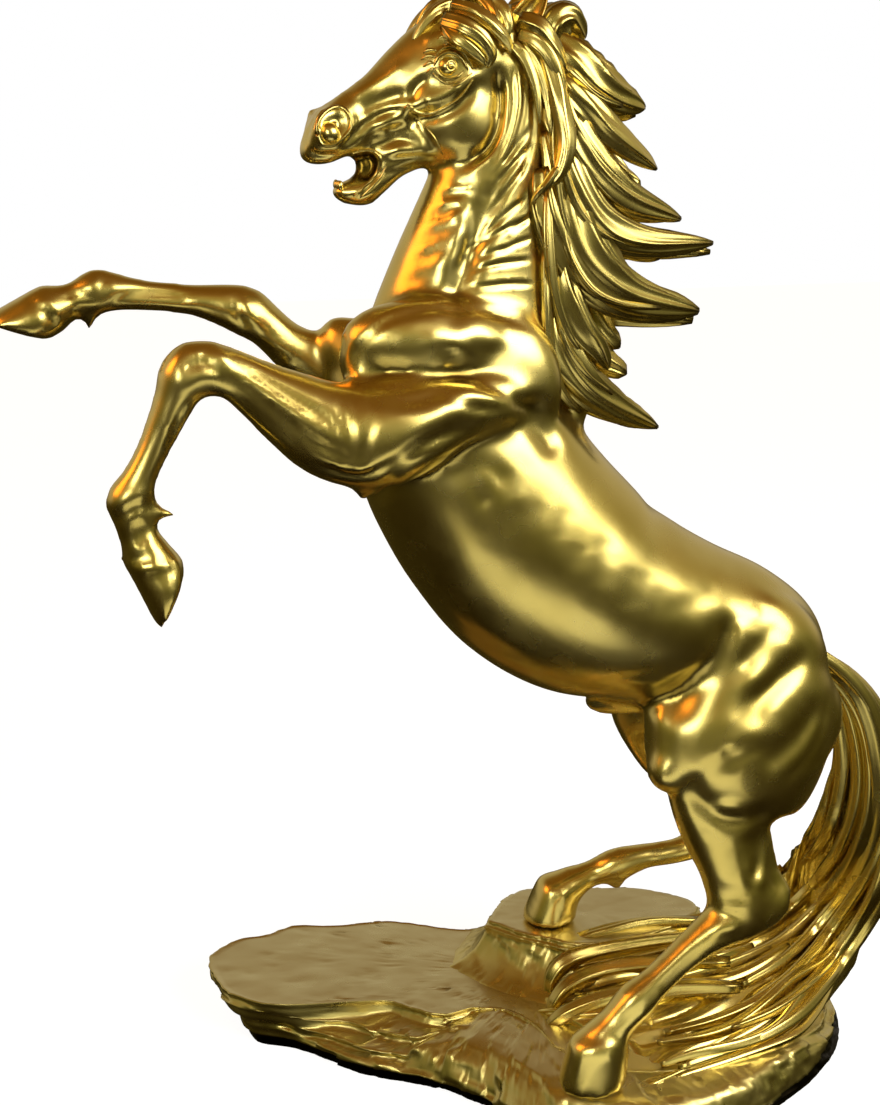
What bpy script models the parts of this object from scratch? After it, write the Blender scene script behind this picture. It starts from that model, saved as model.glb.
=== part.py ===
"""Rearing horse on a layered rock base, one hollow resin casting finished in gold.

The horse faces -X and its near side is -Y. The origin lies on the flat underside.
The figure and the rock are drawn in millimetres at the sizes DRAWN_... below,
then scaled to the driving sizes: a figure drawn at y = 0 is on its own midline,
and z = 0 is the deck of the rock that the hooves stand on.
"""

import math

import bmesh
import bpy
import numpy as np
from mathutils import Matrix, Vector

# Driving sizes in metres
FIGURE_HEIGHT = 0.962
BASE_LENGTH = 0.626
BASE_WIDTH = 0.408
DECK_HEIGHT = 0.055
LEDGE_HEIGHT = 0.050
MIDLINE_Y = -0.030
MESH_CELL = 0.0042
TRIANGLES = 9400

# Heights and lengths at which the stations below are drawn, in millimetres
DRAWN_FIGURE = 962.0
DRAWN_LENGTH = 626.0
DRAWN_WIDTH = 408.0
FIGURE_SCALE = FIGURE_HEIGHT / DRAWN_FIGURE
DECK = DECK_HEIGHT / FIGURE_SCALE
LEDGE = LEDGE_HEIGHT / FIGURE_SCALE

ACROSS = Vector((0, 1, 0))


def clear_scene():
    for obj in list(bpy.data.objects):
        bpy.data.objects.remove(obj, do_unlink=True)


def smooth_rows(rows, steps):
    """Rows along a smooth curve that passes through every given row."""
    rows = np.array(rows, float)
    ends = np.vstack([2 * rows[0] - rows[1], rows, 2 * rows[-1] - rows[-2]])
    t = np.linspace(0, 1, steps, endpoint=False)[:, None]
    runs = []
    for a, b, c, d in zip(ends, ends[1:], ends[2:], ends[3:]):
        cubic = 3 * b - a - 3 * c + d
        square = 2 * a - 5 * b + 4 * c - d
        runs.append(0.5 * (2 * b + (c - a) * t + square * t**2 + cubic * t**3))
    return np.vstack(runs + [rows[-1:]])


def bridge(bm, rings):
    """Faces that join a row of closed rings, with a fan at each end."""
    count = len(rings[0])
    for low, high in zip(rings, rings[1:]):
        for i in range(count):
            j = (i + 1) % count
            bm.faces.new((low[i], low[j], high[j], high[i]))
    for ring, turn in ((rings[0], -1), (rings[-1], 1)):
        middle = sum((v.co for v in ring), Vector()) / count
        tip = bm.verts.new(middle)
        for i in range(count):
            j = (i + 1) % count
            bm.faces.new((ring[i], ring[j], tip)[::turn])


def tube(stations, side=ACROSS, flutes=0, flute_depth=0.0, steps=5, sides=20):
    """A closed loft through stations of x, y, z, half depth and half width.

    The width lies along side, and the depth square to it and to the path.
    """
    bm = bmesh.new()
    rows = smooth_rows(stations, steps)
    along = np.gradient(rows[:, :3], axis=0)
    rings = []
    for row, way in zip(rows, along):
        way = Vector(way).normalized()
        wide = (side - way * side.dot(way)).normalized()
        deep = way.cross(wide)
        ring = []
        for i in range(sides):
            angle = 2 * math.pi * i / sides
            swell = 1 + flute_depth * math.cos(flutes * angle)
            out = deep * math.cos(angle) * max(row[3], 0.4)
            out += wide * math.sin(angle) * max(row[4], 0.4)
            ring.append(bm.verts.new(Vector(row[:3]) + out * swell))
        rings.append(ring)
    bridge(bm, rings)
    return bm


def ball(centre, radii, lean=0.0):
    """An ellipsoid of muscle or bone, leaning in the side view by lean degrees."""
    bm = bmesh.new()
    turn = Matrix.Rotation(-math.radians(lean), 4, "Y")
    place = Matrix.Translation(centre) @ turn @ Matrix.Diagonal((*radii, 1))
    bmesh.ops.create_icosphere(bm, subdivisions=3, radius=1, matrix=place)
    return bm


def hoof(y, toe, heel, front, rear, half_width):
    """A hoof between the sole, from toe to heel, and the coronet, front to rear."""
    bm = bmesh.new()
    rings = []
    for rise in np.linspace(0, 1, 6):
        fore = Vector((toe[0], y, toe[1])).lerp(Vector((front[0], y, front[1])), rise)
        back = Vector((heel[0], y, heel[1])).lerp(Vector((rear[0], y, rear[1])), rise)
        wide = half_width * (1 - 0.2 * rise)
        ring = []
        for i in range(24):
            angle = 2 * math.pi * i / 24
            reach = 0.5 - 0.5 * math.cos(angle)
            square = math.copysign(abs(math.sin(angle)) ** 0.8, math.sin(angle))
            spot = fore.lerp(back, reach) + ACROSS * square * wide
            ring.append(bm.verts.new(spot))
        rings.append(ring)
    bridge(bm, rings)
    return bm


def trunk():
    """Barrel from the breast to the rump, and the neck up to the poll."""
    barrel = [
        (-92, 0, 650, 66, 50), (-82, 0, 628, 82, 64), (-66, 0, 592, 93, 75), (-46, 0, 556, 98, 81),
        (-22, 0, 520, 101, 86), (10, 0, 482, 103, 89), (50, 0, 450, 99, 89), (96, 0, 429, 89, 85),
        (145, 0, 408, 81, 80), (190, 0, 384, 82, 78), (226, 0, 356, 78, 70), (256, 0, 326, 54, 50),
    ]
    neck = [
        (-62, 0, 592, 86, 60), (-67, 0, 640, 92, 60), (-61, 0, 690, 83, 52), (-53, 0, 738, 71, 45),
        (-43, 0, 785, 59, 39), (-33, 0, 826, 50, 36), (-26, 0, 866, 44, 34), (-22, 0, 905, 36, 31),
        (-16, 0, 932, 18, 20),
    ]
    shapes = [tube(barrel, steps=4, sides=32), tube(neck, steps=4, sides=28)]
    shapes.append(ball((22, 0, 610), (24, 26, 52), -30))
    sheath = [(58, 0, 341, 6, 8), (66, 0, 338, 11, 12), (90, 0, 335, 13, 14), (136, 0, 336, 15, 15)]
    shapes.append(tube(sheath))
    for y in (-1, 1):
        shapes.append(ball((-134, 27 * y, 640), (36, 27, 44), 8))
        shapes.append(ball((-90 + 14 * y, 46 * y, 682 - 5 * y), (66 - 8 * y, 30, 35), -4))
        shapes.append(ball((-136, 36 * y, 664), (38, 28, 34), 20))
        shapes.append(ball((226, 44 * y, 320), (71, 40, 66), -10))
        shapes.append(ball((205, 40 * y, 385), (80, 40, 62), -35))
        shapes.append(ball((-40, 42 * y, 648), (52, 26, 62), 12))
    return shapes


def head():
    """Skull and upper jaw, open lower jaw with its chin, cheek discs and eyes."""
    upper = [
        (-196, 0, 834, 4, 12), (-186, 0, 841, 14, 19), (-171, 0, 851, 20, 22), (-152, 0, 861, 23, 19),
        (-130, 0, 871, 28, 21), (-106, 0, 884, 36, 28), (-82, 0, 896, 42, 34), (-56, 0, 906, 43, 34),
        (-30, 0, 912, 36, 30), (-10, 0, 912, 22, 22),
    ]
    upper_lip = [
        (-197, 0, 833, 3, 9), (-188, 0, 831, 7, 15), (-176, 0, 832, 7, 18), (-160, 0, 838, 6, 18),
        (-144, 0, 841, 6, 18), (-130, 0, 844, 6, 17),
    ]
    lower = [
        (-173, 0, 804, 5, 10), (-165, 0, 803, 9, 14), (-150, 0, 803, 11, 16), (-136, 0, 811, 11, 17),
        (-124, 0, 824, 13, 18), (-104, 0, 838, 18, 21), (-82, 0, 850, 23, 24), (-56, 0, 866, 24, 25),
    ]
    # The cheek that closes the mouth behind its corner
    cheek = [
        (-137, 0, 829, 7, 17), (-122, 0, 837, 15, 20), (-102, 0, 846, 22, 23), (-80, 0, 856, 26, 25),
    ]
    shapes = [tube(upper), tube(upper_lip), tube(lower), tube(cheek)]
    shapes.append(ball((-148, 0, 800), (12, 12, 10), -20))
    for y in (-1, 1):
        cheekbone = [(-128, 20 * y, 866, 4, 3), (-100, 28 * y, 874, 6, 5), (-66, 33 * y, 891, 6, 4)]
        shapes.append(ball((-67, 21 * y, 860), (31, 14, 34), 20))
        shapes.append(ball((-178, 14 * y, 852), (15, 11, 17), 30))
        shapes.append(ball((-88, 27 * y, 903), (13, 10, 10), 20))
        shapes.append(tube(cheekbone))
    return shapes


def ears():
    """Two leaf-shaped ears, laid back a little."""
    shapes = []
    for y in (-1, 1):
        leaf = [
            (-36, 22 * y, 920, 9, 7), (-30, 26 * y, 932, 12, 7),
            (-18, 30 * y, 946, 10, 5), (-7, 32 * y, 962, 1, 1),
        ]
        shapes.append(tube(leaf))
    return shapes


def near_foreleg():
    """The near foreleg, folded at the knee, its hoof hanging toe down."""
    arm = [
        (-22, -60, 634, 12, 10), (-56, -66, 638, 22, 22), (-95, -70, 634, 31, 29), (-130, -71, 622, 41, 34),
        (-158, -69, 616, 43, 34), (-190, -66, 622, 40, 30), (-218, -64, 638, 33, 26),
        (-245, -63, 656, 25, 21), (-268, -62, 671, 20, 18), (-291, -62, 677, 22, 20),
        (-304, -62, 680, 12, 14),
    ]
    shank = [
        (-296, -62, 690, 10, 12), (-303, -62, 674, 20, 20), (-312, -62, 652, 17, 17),
        (-328, -62, 619, 13.5, 13.5), (-342, -62, 592, 14, 14), (-350, -62, 574, 20, 17),
        (-348, -62, 553, 15, 14), (-340, -62, 532, 19, 18), (-335, -62, 522, 20, 19),
    ]
    shapes = [tube(arm), tube(shank)]
    shapes.append(ball((-297, -62, 678), (21, 20, 20)))
    elbow = [
        (-150, -66, 598, 26, 18), (-158, -66, 582, 18, 14), (-165, -66, 570, 9, 9), (-169, -66, 562, 3, 4),
    ]
    shapes.append(tube(elbow))
    shapes.append(tube([(-340, -62, 566, 8, 8), (-322, -62, 562, 5, 6), (-309, -62, 556, 1, 2)]))
    shapes.append(hoof(-62, (-334, 466), (-311, 511), (-360, 528), (-311, 522), 26))
    return shapes


def far_foreleg():
    """The far foreleg, reaching forward and level."""
    arm = [
        (-60, 48, 596, 44, 30), (-110, 54, 618, 44, 32), (-150, 56, 636, 35, 28), (-180, 56, 656, 26, 23),
        (-205, 56, 674, 20, 19), (-222, 56, 690, 19, 18), (-238, 56, 702, 22, 20), (-255, 56, 708, 19, 18),
        (-285, 56, 714, 13.5, 14), (-325, 56, 719, 13.5, 13.5), (-350, 56, 723, 17, 15),
        (-362, 56, 723, 19, 17), (-378, 56, 718, 14, 14), (-392, 56, 712, 17, 17), (-400, 56, 709, 18, 18),
    ]
    shapes = [tube(arm)]
    shapes.append(tube([(-362, 56, 712, 8, 8), (-368, 56, 698, 5, 6), (-370, 56, 687, 1, 2)]))
    shapes.append(hoof(56, (-456, 703), (-401, 684), (-404, 731), (-389, 693), 26))
    return shapes


def near_hind_leg():
    """The near hind leg, crouched far under the body."""
    thigh = [
        (188, -34, 402, 66, 42), (192, -46, 345, 93, 48), (187, -54, 303, 92, 48), (182, -60, 272, 82, 43),
        (173, -66, 248, 58, 35), (171, -71, 226, 43, 30), (175, -80, 200, 34, 26), (180, -87, 175, 32, 23),
        (185, -91, 154, 34, 22), (188, -93, 142, 24, 18),
    ]
    cannon = [
        (229, -91, 160, 10, 10), (212, -91, 154, 20, 17), (180, -92, 148, 27, 21), (152, -94, 136, 20, 18),
        (122, -96, 116, 16, 15), (94, -99, 94, 16, 15), (76, -100, 79, 20, 18), (58, -101, 60, 18, 17),
        (46, -102, 46, 23, 21), (41, -103, 36, 26, 22),
    ]
    shapes = [tube(thigh, sides=28), tube(cannon)]
    shapes.append(tube([(206, -80, 222, 9, 9), (214, -85, 190, 7, 8), (226, -90, 162, 10, 10)]))
    shapes.append(ball((112, -66, 292), (19, 18, 22), 10))
    shapes.append(tube([(86, -100, 66, 8, 8), (92, -100, 54, 6, 7), (94, -100, 44, 1, 2)]))
    shapes.append(hoof(-103, (2, 0), (66, 0), (12, 48), (70, 36), 28))
    return shapes


def far_hind_leg():
    """The far hind leg, its cannon low and its hoof on the raised ledge."""
    drop = LEDGE - 50
    thigh = [
        (188, 34, 402, 66, 42), (190, 46, 345, 90, 46), (190, 56, 300, 84, 42), (196, 63, 262, 64, 35),
        (212, 70, 230, 46, 29), (232, 78, 200, 34, 24), (248, 84, 172, 26, 20), (256, 87, 152, 20, 18),
    ]
    cannon = [
        (276, 86, 164, 10, 10), (258, 87, 152, 20, 17), (232, 90, 134, 20, 17), (205, 93, 119, 14, 14),
        (165, 97, 115, 14, 13.5), (142, 100, 109, 18, 16), (128, 102, 105, 18, 16), (108, 105, 98, 14, 14),
        (88, 108, 88, 19, 19), (78, 109, 80, 23, 21),
    ]
    shapes = [tube(thigh, sides=28), tube(cannon)]
    shapes.append(tube([(238, 78, 226, 9, 9), (254, 83, 194, 7, 8), (270, 86, 168, 10, 10)]))
    shapes.append(tube([(136, 102, 92, 8, 8), (138, 102, 80, 6, 7), (137, 102, 69, 1, 2)]))
    shapes.append(hoof(110, (35, 50 + drop), (94, 50 + drop), (52, 92), (94, 82), 28))
    return shapes


def lock(points, breadth, thickness, flutes=5, side=ACROSS):
    """A leaf-shaped fluted lock of hair, from its root to its pointed tip."""
    rows = smooth_rows(points, 4)
    share = np.linspace(0, 1, len(rows))
    swell = np.clip(np.sin(math.pi * (0.22 + 0.78 * share**0.8)), 0, 1) ** 0.75
    stations = np.column_stack([rows, swell * breadth, 0.35 * thickness + swell * thickness * 0.65])
    stations[-1, 3:] = 0.5
    return tube(stations, side, flutes, 0.14, steps=2, sides=24)


# Each mane lock: root, bend, sweep and tip in the side view, and its half breadth
MANE_LOCKS = (
    ((-6, 925), (30, 912), (66, 886), (92, 868), 16),
    ((0, 905), (28, 880), (62, 850), (105, 818), 18),
    ((4, 880), (34, 836), (72, 800), (129, 776), 21),
    ((6, 850), (34, 796), (82, 764), (159, 755), 23),
    ((8, 800), (36, 742), (84, 708), (149, 697), 25),
    ((12, 752), (34, 712), (58, 684), (80, 664), 18),
    ((18, 706), (34, 668), (64, 628), (114, 595), 19),
)
MANE_LOCK_THICKNESS = 9.5
# How far the roots, bends, sweeps and tips of a row lie from the midline
MANE_SPREAD = (18.0, 16.5, 10.5, 4.5)
# How much lower and further in the far row hangs
FAR_ROW_FALL = 12.0


def mane():
    """The crest and two staggered rows of locks swept back, with the locks beside them."""
    crest = [
        (0, 0, 930, 16, 20), (6, 0, 890, 22, 24), (10, 0, 830, 24, 25),
        (12, 0, 760, 23, 24), (20, 0, 690, 18, 20), (34, 0, 640, 8, 12),
    ]
    shapes = [tube(crest, flutes=9, flute_depth=0.1)]
    for *path, breadth in MANE_LOCKS:
        for side, fall in ((-1, (0, 0, 0, 0)), (1, (0, 0, 0, FAR_ROW_FALL))):
            spots = [
                (x - drop, side * spread, z - (FAR_ROW_FALL if side > 0 and number else 0))
                for number, ((x, z), spread, drop) in enumerate(zip(path, MANE_SPREAD, fall))
            ]
            shapes.append(lock(spots, breadth, MANE_LOCK_THICKNESS))
    draped = [(2, -24, 905), (16, -34, 860), (8, -40, 815), (-18, -40, 796)]
    draped_far = [(2, 24, 905), (14, 34, 850), (10, 38, 800), (-6, 38, 775)]
    poll = [(-14, -4, 938), (14, 0, 950), (34, 4, 942), (44, 4, 924)]
    forelock = [(-34, -8, 948), (-58, -20, 938), (-50, -34, 920), (-60, -38, 900)]
    forelock_far = [(-34, 8, 948), (-64, 16, 946), (-72, 30, 926), (-62, 36, 908)]
    shapes += [lock(draped, 9, 6), lock(draped_far, 9, 6), lock(poll, 13, 12)]
    shapes += [lock(forelock, 9, 7), lock(forelock_far, 9, 7)]
    return shapes


TAIL_CORE = [
    (280, 10, 352, 16, 16), (312, 13, 336, 22, 20), (346, 18, 292, 27, 24), (366, 22, 240, 33, 27),
    (372, 24, 185, 38, 30), (356, 20, 130, 42, 34), (322, 8, 82, 44, 40), (276, -6, 46, 34, 48),
    (220, -14, 24, 22, 54), (150, -18, 10, 16, 50),
]
OUTER_STRANDS = 7
STRAND_REACH = 0.72
STRAND_TWIST = 0.006
# Ends of the hair that fans out over the deck, in plan
FAN_ENDS = (
    (60, 38), (40, 12), (52, -16), (86, -44), (110, -120), (170, -132), (230, -118), (270, -84),
)
# Heights at which a strand of the fan leaves the tail, bends, lies down and ends
FAN_HEIGHTS = (96, 34, 12, 4)
# How far along its way to its end each of those is, along and across
FAN_ALONG = (0, 0.38, 0.7, 1)
FAN_ACROSS = (0, 0.4, 0.75, 1)


def outer_strand(number):
    """One strand that winds slowly round the core of the tail."""
    path = []
    for x, y, z, deep, wide in TAIL_CORE[1:]:
        turn = 2 * math.pi * number / OUTER_STRANDS + STRAND_TWIST * (z - 200)
        out = STRAND_REACH * deep * math.cos(turn)
        path.append((x + out, y + STRAND_REACH * wide * math.sin(turn), z))
    return lock(path, 13, 11, flutes=4)


def fan_strand(number, end):
    """One strand from the foot of the tail to its end on the deck."""
    start = np.array((330 - 4 * number, 22 - 9 * number), float)
    path = []
    for height, along, across in zip(FAN_HEIGHTS, FAN_ALONG, FAN_ACROSS):
        spot = start + (np.array(end) - start) * (along, across)
        path.append((spot[0], spot[1], height))
    return lock(path, 17, 15)


def tail():
    """A fluted core from the dock to the deck, its outer strands and the fan at its end."""
    shapes = [tube(TAIL_CORE, flutes=11, flute_depth=0.1, sides=44)]
    shapes += [outer_strand(number) for number in range(OUTER_STRANDS)]
    shapes += [fan_strand(number, end) for number, end in enumerate(FAN_ENDS)]
    return shapes


# The rock's plan, in drawn millimetres, walked round from its left tip
ROCK_OUTLINE = (
    (-281, 178), (-262, 122), (-205, 62), (-150, 30), (-96, -20), (-52, -70), (-8, -140), (60, -178),
    (140, -182), (220, -150), (297, -104), (340, -44), (345, 14), (318, 66), (268, 108), (210, 142),
    (146, 162), (76, 172), (-1, 170), (-89, 212), (-184, 226), (-246, 208),
)
LEDGE_OUTLINE = (
    (2, 90), (40, 50), (84, 22), (140, 22), (190, 34), (226, 66), (190, 106), (142, 124), (98, 136),
    (54, 141), (24, 120),
)
# Each layer: its plan, its lowest and highest level, how far it stands back, and its jaggedness
ROCK_LAYERS = (
    (ROCK_OUTLINE, -DECK - 6, -0.62 * DECK, 12, 7),
    (ROCK_OUTLINE, -0.72 * DECK, -0.26 * DECK, 3, 6),
    (ROCK_OUTLINE, -0.38 * DECK, 0, 10, 8),
    (LEDGE_OUTLINE, -0.2 * DECK, 0.55 * LEDGE, 0, 6),
    (LEDGE_OUTLINE, 0.3 * LEDGE, LEDGE, 9, 6),
)
RIM_TILT = 2.5


def noise(*key):
    """A repeatable value between -1 and 1 for whole-number keys."""
    value = math.sin(sum(k * s for k, s in zip(key, (12.9898, 78.233, 37.719)))) * 43758.5453
    return 2 * (value - math.floor(value)) - 1


def slab(outline, low, high, inset, jag, layer):
    """One layer of rock: a jagged outline between two heights, its rim broken back."""
    bm = bmesh.new()
    rows = smooth_rows([*outline, outline[0]], 5)[:-1]
    middle = rows.mean(axis=0)
    rings = []
    for level, share in ((low, 0.02), (low + 0.35 * (high - low), 0.0), (high - 2, 0.0), (high, 0.012)):
        ring = []
        for i, row in enumerate(rows):
            out = row - middle
            reach = 1 - share - (inset + jag * noise(i // 2, layer)) / np.hypot(*out)
            spot = middle + out * reach
            tilt = RIM_TILT * noise(i // 3, layer, 5) if level == high else 0
            ring.append(bm.verts.new((spot[0], spot[1], level + tilt)))
        rings.append(ring)
    bridge(bm, rings[::-1])
    bmesh.ops.recalc_face_normals(bm, faces=bm.faces)
    return bm


def rock():
    """Three broken layers of rock under the deck, with the raised ledge at the back."""
    return [slab(*layer, number) for number, layer in enumerate(ROCK_LAYERS, 1)]


def figure_matrix():
    """From the drawn figure to its place on the deck."""
    return Matrix.Translation((0, MIDLINE_Y, DECK_HEIGHT)) @ Matrix.Diagonal((FIGURE_SCALE,) * 3 + (1,))


def rock_matrix():
    """From the drawn rock to its real plan, with its deck at the deck height."""
    length = BASE_LENGTH / DRAWN_LENGTH
    width = BASE_WIDTH / DRAWN_WIDTH
    return Matrix.Translation((0, 0, DECK_HEIGHT)) @ Matrix.Diagonal((length, width, FIGURE_SCALE, 1))


def fused(name, shapes, matrix, cell):
    """One closed mesh, in metres, of shapes that overlap."""
    whole = bmesh.new()
    for shape in shapes:
        part = bpy.data.meshes.new("shape")
        shape.to_mesh(part)
        shape.free()
        whole.from_mesh(part)
        bpy.data.meshes.remove(part)
    whole.transform(matrix)
    mesh = bpy.data.meshes.new(name)
    whole.to_mesh(mesh)
    whole.free()
    obj = bpy.data.objects.new(name, mesh)
    bpy.context.scene.collection.objects.link(obj)
    remesh = obj.modifiers.new("cells", "REMESH")
    remesh.mode = "VOXEL"
    remesh.voxel_size = cell
    return applied(obj)


def applied(obj):
    """The object with its modifiers made part of its mesh."""
    graph = bpy.context.evaluated_depsgraph_get()
    mesh = bpy.data.meshes.new_from_object(obj.evaluated_get(graph))
    obj.modifiers.clear()
    obj.data = mesh
    return obj


def points_of(mesh):
    points = np.empty(len(mesh.vertices) * 3, np.float32)
    mesh.vertices.foreach_get("co", points)
    return points.reshape(-1, 3).astype(float)


def place_points(mesh, points):
    mesh.vertices.foreach_set("co", np.asarray(points, np.float32).ravel())
    mesh.update()


def relaxed(obj, rounds, share=0.5):
    """Evens out the mesh by moving each vertex part of the way to its neighbours' mean."""
    mesh = obj.data
    ends = np.empty(len(mesh.edges) * 2, np.int32)
    mesh.edges.foreach_get("vertices", ends)
    a, b = ends.reshape(-1, 2).T
    points = points_of(mesh)
    total = len(points)
    degree = np.bincount(a, minlength=total) + np.bincount(b, minlength=total)
    for _ in range(rounds):
        mean = np.empty_like(points)
        for k in range(3):
            near = np.bincount(a, points[b, k], total) + np.bincount(b, points[a, k], total)
            mean[:, k] = near / np.maximum(degree, 1)
        points += share * (mean - points)
    place_points(mesh, points)


def distance_to_line(flat, line):
    """Distance of each flat point to a polyline, and the share of its length there."""
    best = np.full(len(flat), np.inf)
    where = np.zeros(len(flat))
    spans = np.linalg.norm(np.diff(line, axis=0), axis=1)
    walked = np.concatenate([[0], np.cumsum(spans)]) / spans.sum()
    for i, (p, q) in enumerate(zip(line, line[1:])):
        t = np.clip((flat - p) @ (q - p) / spans[i] ** 2, 0, 1)
        away = np.linalg.norm(flat - p - t[:, None] * (q - p), axis=1)
        closer = away < best
        best[closer] = away[closer]
        where[closer] = (walked[i] + t * (walked[i + 1] - walked[i]))[closer]
    return best, where


# Grooves and ridges in the side view: side (0 both), half width, depth (a ridge is negative), points
CARVING = (
    (0, 8, 6, ((-176, 655), (-150, 652), (-120, 652), (-92, 664), (-66, 656), (-22, 634), (16, 618))),
    (1, 12, 8, ((-150, 560), (-110, 590), (-56, 606), (-10, 610))),
    (0, 10, 5, ((-30, 640), (-12, 612), (4, 590))),
    (0, 9, 4, ((-14, 560), (-34, 530), (-44, 500))),
    (0, 9, 4, ((14, 548), (4, 512), (2, 484))),
    (0, 9, 4, ((42, 534), (40, 494), (44, 464))),
    (0, 9, 4, ((72, 512), (72, 470), (66, 430))),
    (0, 8, 4, ((100, 486), (96, 446), (84, 410))),
    (0, 12, 9, ((162, 442), (150, 404), (126, 376), (106, 340))),
    (0, 11, 6, ((222, 392), (190, 360), (176, 336))),
    (0, 11, 6, ((258, 350), (216, 316), (184, 302))),
    (0, 8, 5, ((128, 286), (140, 262), (168, 250), (206, 254))),
    (0, 7, 4, ((184, 236), (188, 214), (192, 190))),
    (0, 8, 4, ((-150, 530), (-118, 486), (-84, 440), (-36, 402))),
    (0, 6, 4, ((-40, 895), (-44, 870), (-50, 840), (-74, 828))),
    (0, 6, 3, ((-150, 846), (-126, 852), (-108, 864))),
    (0, 8, 5, ((-70, 810), (-66, 780), (-74, 740), (-92, 700))),
)


def carved(obj):
    """Presses the named grooves into the sides of the figure."""
    mesh = obj.data
    points = points_of(mesh)
    normals = np.empty(len(points) * 3, np.float32)
    mesh.vertex_normals.foreach_get("vector", normals)
    normals = normals.reshape(-1, 3)
    drawn = np.array(figure_matrix().inverted())
    flat = (points @ drawn[:3, :3].T + drawn[:3, 3])[:, [0, 2]]
    depth = np.zeros(len(points))
    for side, half_width, deep, line in CARVING:
        line = smooth_rows(line, 4)
        low, high = line.min(axis=0) - 3 * half_width, line.max(axis=0) + 3 * half_width
        near = np.flatnonzero(((flat > low) & (flat < high)).all(axis=1))
        away, where = distance_to_line(flat[near], line)
        press = np.exp(-((away / half_width) ** 2)) * np.minimum(1, 5 * np.minimum(where, 1 - where) + 0.15)
        facing = normals[near, 1] if side else np.abs(normals[near, 1])
        press *= np.clip(1.6 * facing * (side or 1) - 0.25, 0, 1)
        depth[near] += deep * press
    points -= normals * depth[:, None] * FIGURE_SCALE
    place_points(mesh, points)


def keep_largest(obj):
    """Deletes every loose shell but the one with the most vertices."""
    bm = bmesh.new()
    bm.from_mesh(obj.data)
    left = set(bm.verts)
    shells = []
    while left:
        found = {left.pop()}
        rim = list(found)
        while rim:
            for edge in rim.pop().link_edges:
                for vert in edge.verts:
                    if vert in left:
                        left.discard(vert)
                        found.add(vert)
                        rim.append(vert)
        shells.append(found)
    shells.sort(key=len)
    for shell in shells[:-1]:
        bmesh.ops.delete(bm, geom=list(shell), context="VERTS")
    bm.to_mesh(obj.data)
    bm.free()


def flat_underside(obj):
    """Cuts the mesh off level at the ground and closes it."""
    bm = bmesh.new()
    bm.from_mesh(obj.data)
    bmesh.ops.triangulate(bm, faces=bm.faces)
    everything = bm.verts[:] + bm.edges[:] + bm.faces[:]
    ground = {"plane_co": (0, 0, 0), "plane_no": (0, 0, 1)}
    bmesh.ops.bisect_plane(bm, geom=everything, clear_inner=True, dist=1e-5, **ground)
    rim = [edge for edge in bm.edges if edge.is_boundary]
    filled = bmesh.ops.triangle_fill(bm, edges=rim, use_beauty=True, normal=(0, 0, -1))
    for item in filled["geom"]:
        if isinstance(item, bmesh.types.BMFace) and item.normal.z > 0:
            item.normal_flip()
    for vert in bm.verts:
        if abs(vert.co.z) < 2e-5:
            vert.co.z = 0
    bm.to_mesh(obj.data)
    bm.free()


def gold():
    """Glossy gold paint."""
    material = bpy.data.materials.new("gold_resin")
    material.use_nodes = True
    shader = material.node_tree.nodes["Principled BSDF"]
    shader.inputs["Base Color"].default_value = (0.62, 0.44, 0.11, 1)
    shader.inputs["Metallic"].default_value = 1.0
    shader.inputs["Roughness"].default_value = 0.25
    return material


def joined(objects, name):
    """One object with the meshes of several."""
    whole = bmesh.new()
    for obj in objects:
        whole.from_mesh(obj.data)
        bpy.data.objects.remove(obj, do_unlink=True)
    mesh = bpy.data.meshes.new(name)
    whole.to_mesh(mesh)
    whole.free()
    return bpy.data.objects.new(name, mesh)


def horse_sculpture():
    body_shapes = trunk() + head() + ears()
    for leg in (near_foreleg, far_foreleg, near_hind_leg, far_hind_leg):
        body_shapes += leg()
    body = fused("body", body_shapes, figure_matrix(), MESH_CELL)
    relaxed(body, 5)
    carved(body)
    relaxed(body, 1)
    hair = fused("hair", mane() + tail(), figure_matrix(), MESH_CELL)
    relaxed(hair, 1, 0.3)
    stone = fused("stone", rock(), rock_matrix(), MESH_CELL)
    whole = joined([body, hair, stone], "horse_sculpture")
    collection = bpy.data.collections.new("gold_rearing_horse")
    bpy.context.scene.collection.children.link(collection)
    collection.objects.link(whole)
    remesh = whole.modifiers.new("cells", "REMESH")
    remesh.mode = "VOXEL"
    remesh.voxel_size = MESH_CELL
    applied(whole)
    keep_largest(whole)
    fewer = whole.modifiers.new("fewer", "DECIMATE")
    fewer.ratio = TRIANGLES / (2 * len(whole.data.polygons))
    fewer.use_collapse_triangulate = True
    applied(whole)
    flat_underside(whole)
    whole.data.materials.append(gold())
    whole.data.shade_smooth()
    return whole


clear_scene()
horse_sculpture()
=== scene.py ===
"""Looks of the gold rearing horse on its rock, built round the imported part.

The figure is drawn in millimetres: x rearward, y from the horse's midline with the
near side at -y, and z above the deck of the rock. Details that the photograph shows are
given as its pixels and thrown from the same camera onto the forms, so they sit on them.
"""

import math

import bmesh
import bpy
import numpy as np
from mathutils import Matrix, Vector
from mathutils.bvhtree import BVHTree
from mathutils.noise import fractal as fractal_noise, noise as smooth_noise, voronoi


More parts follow.
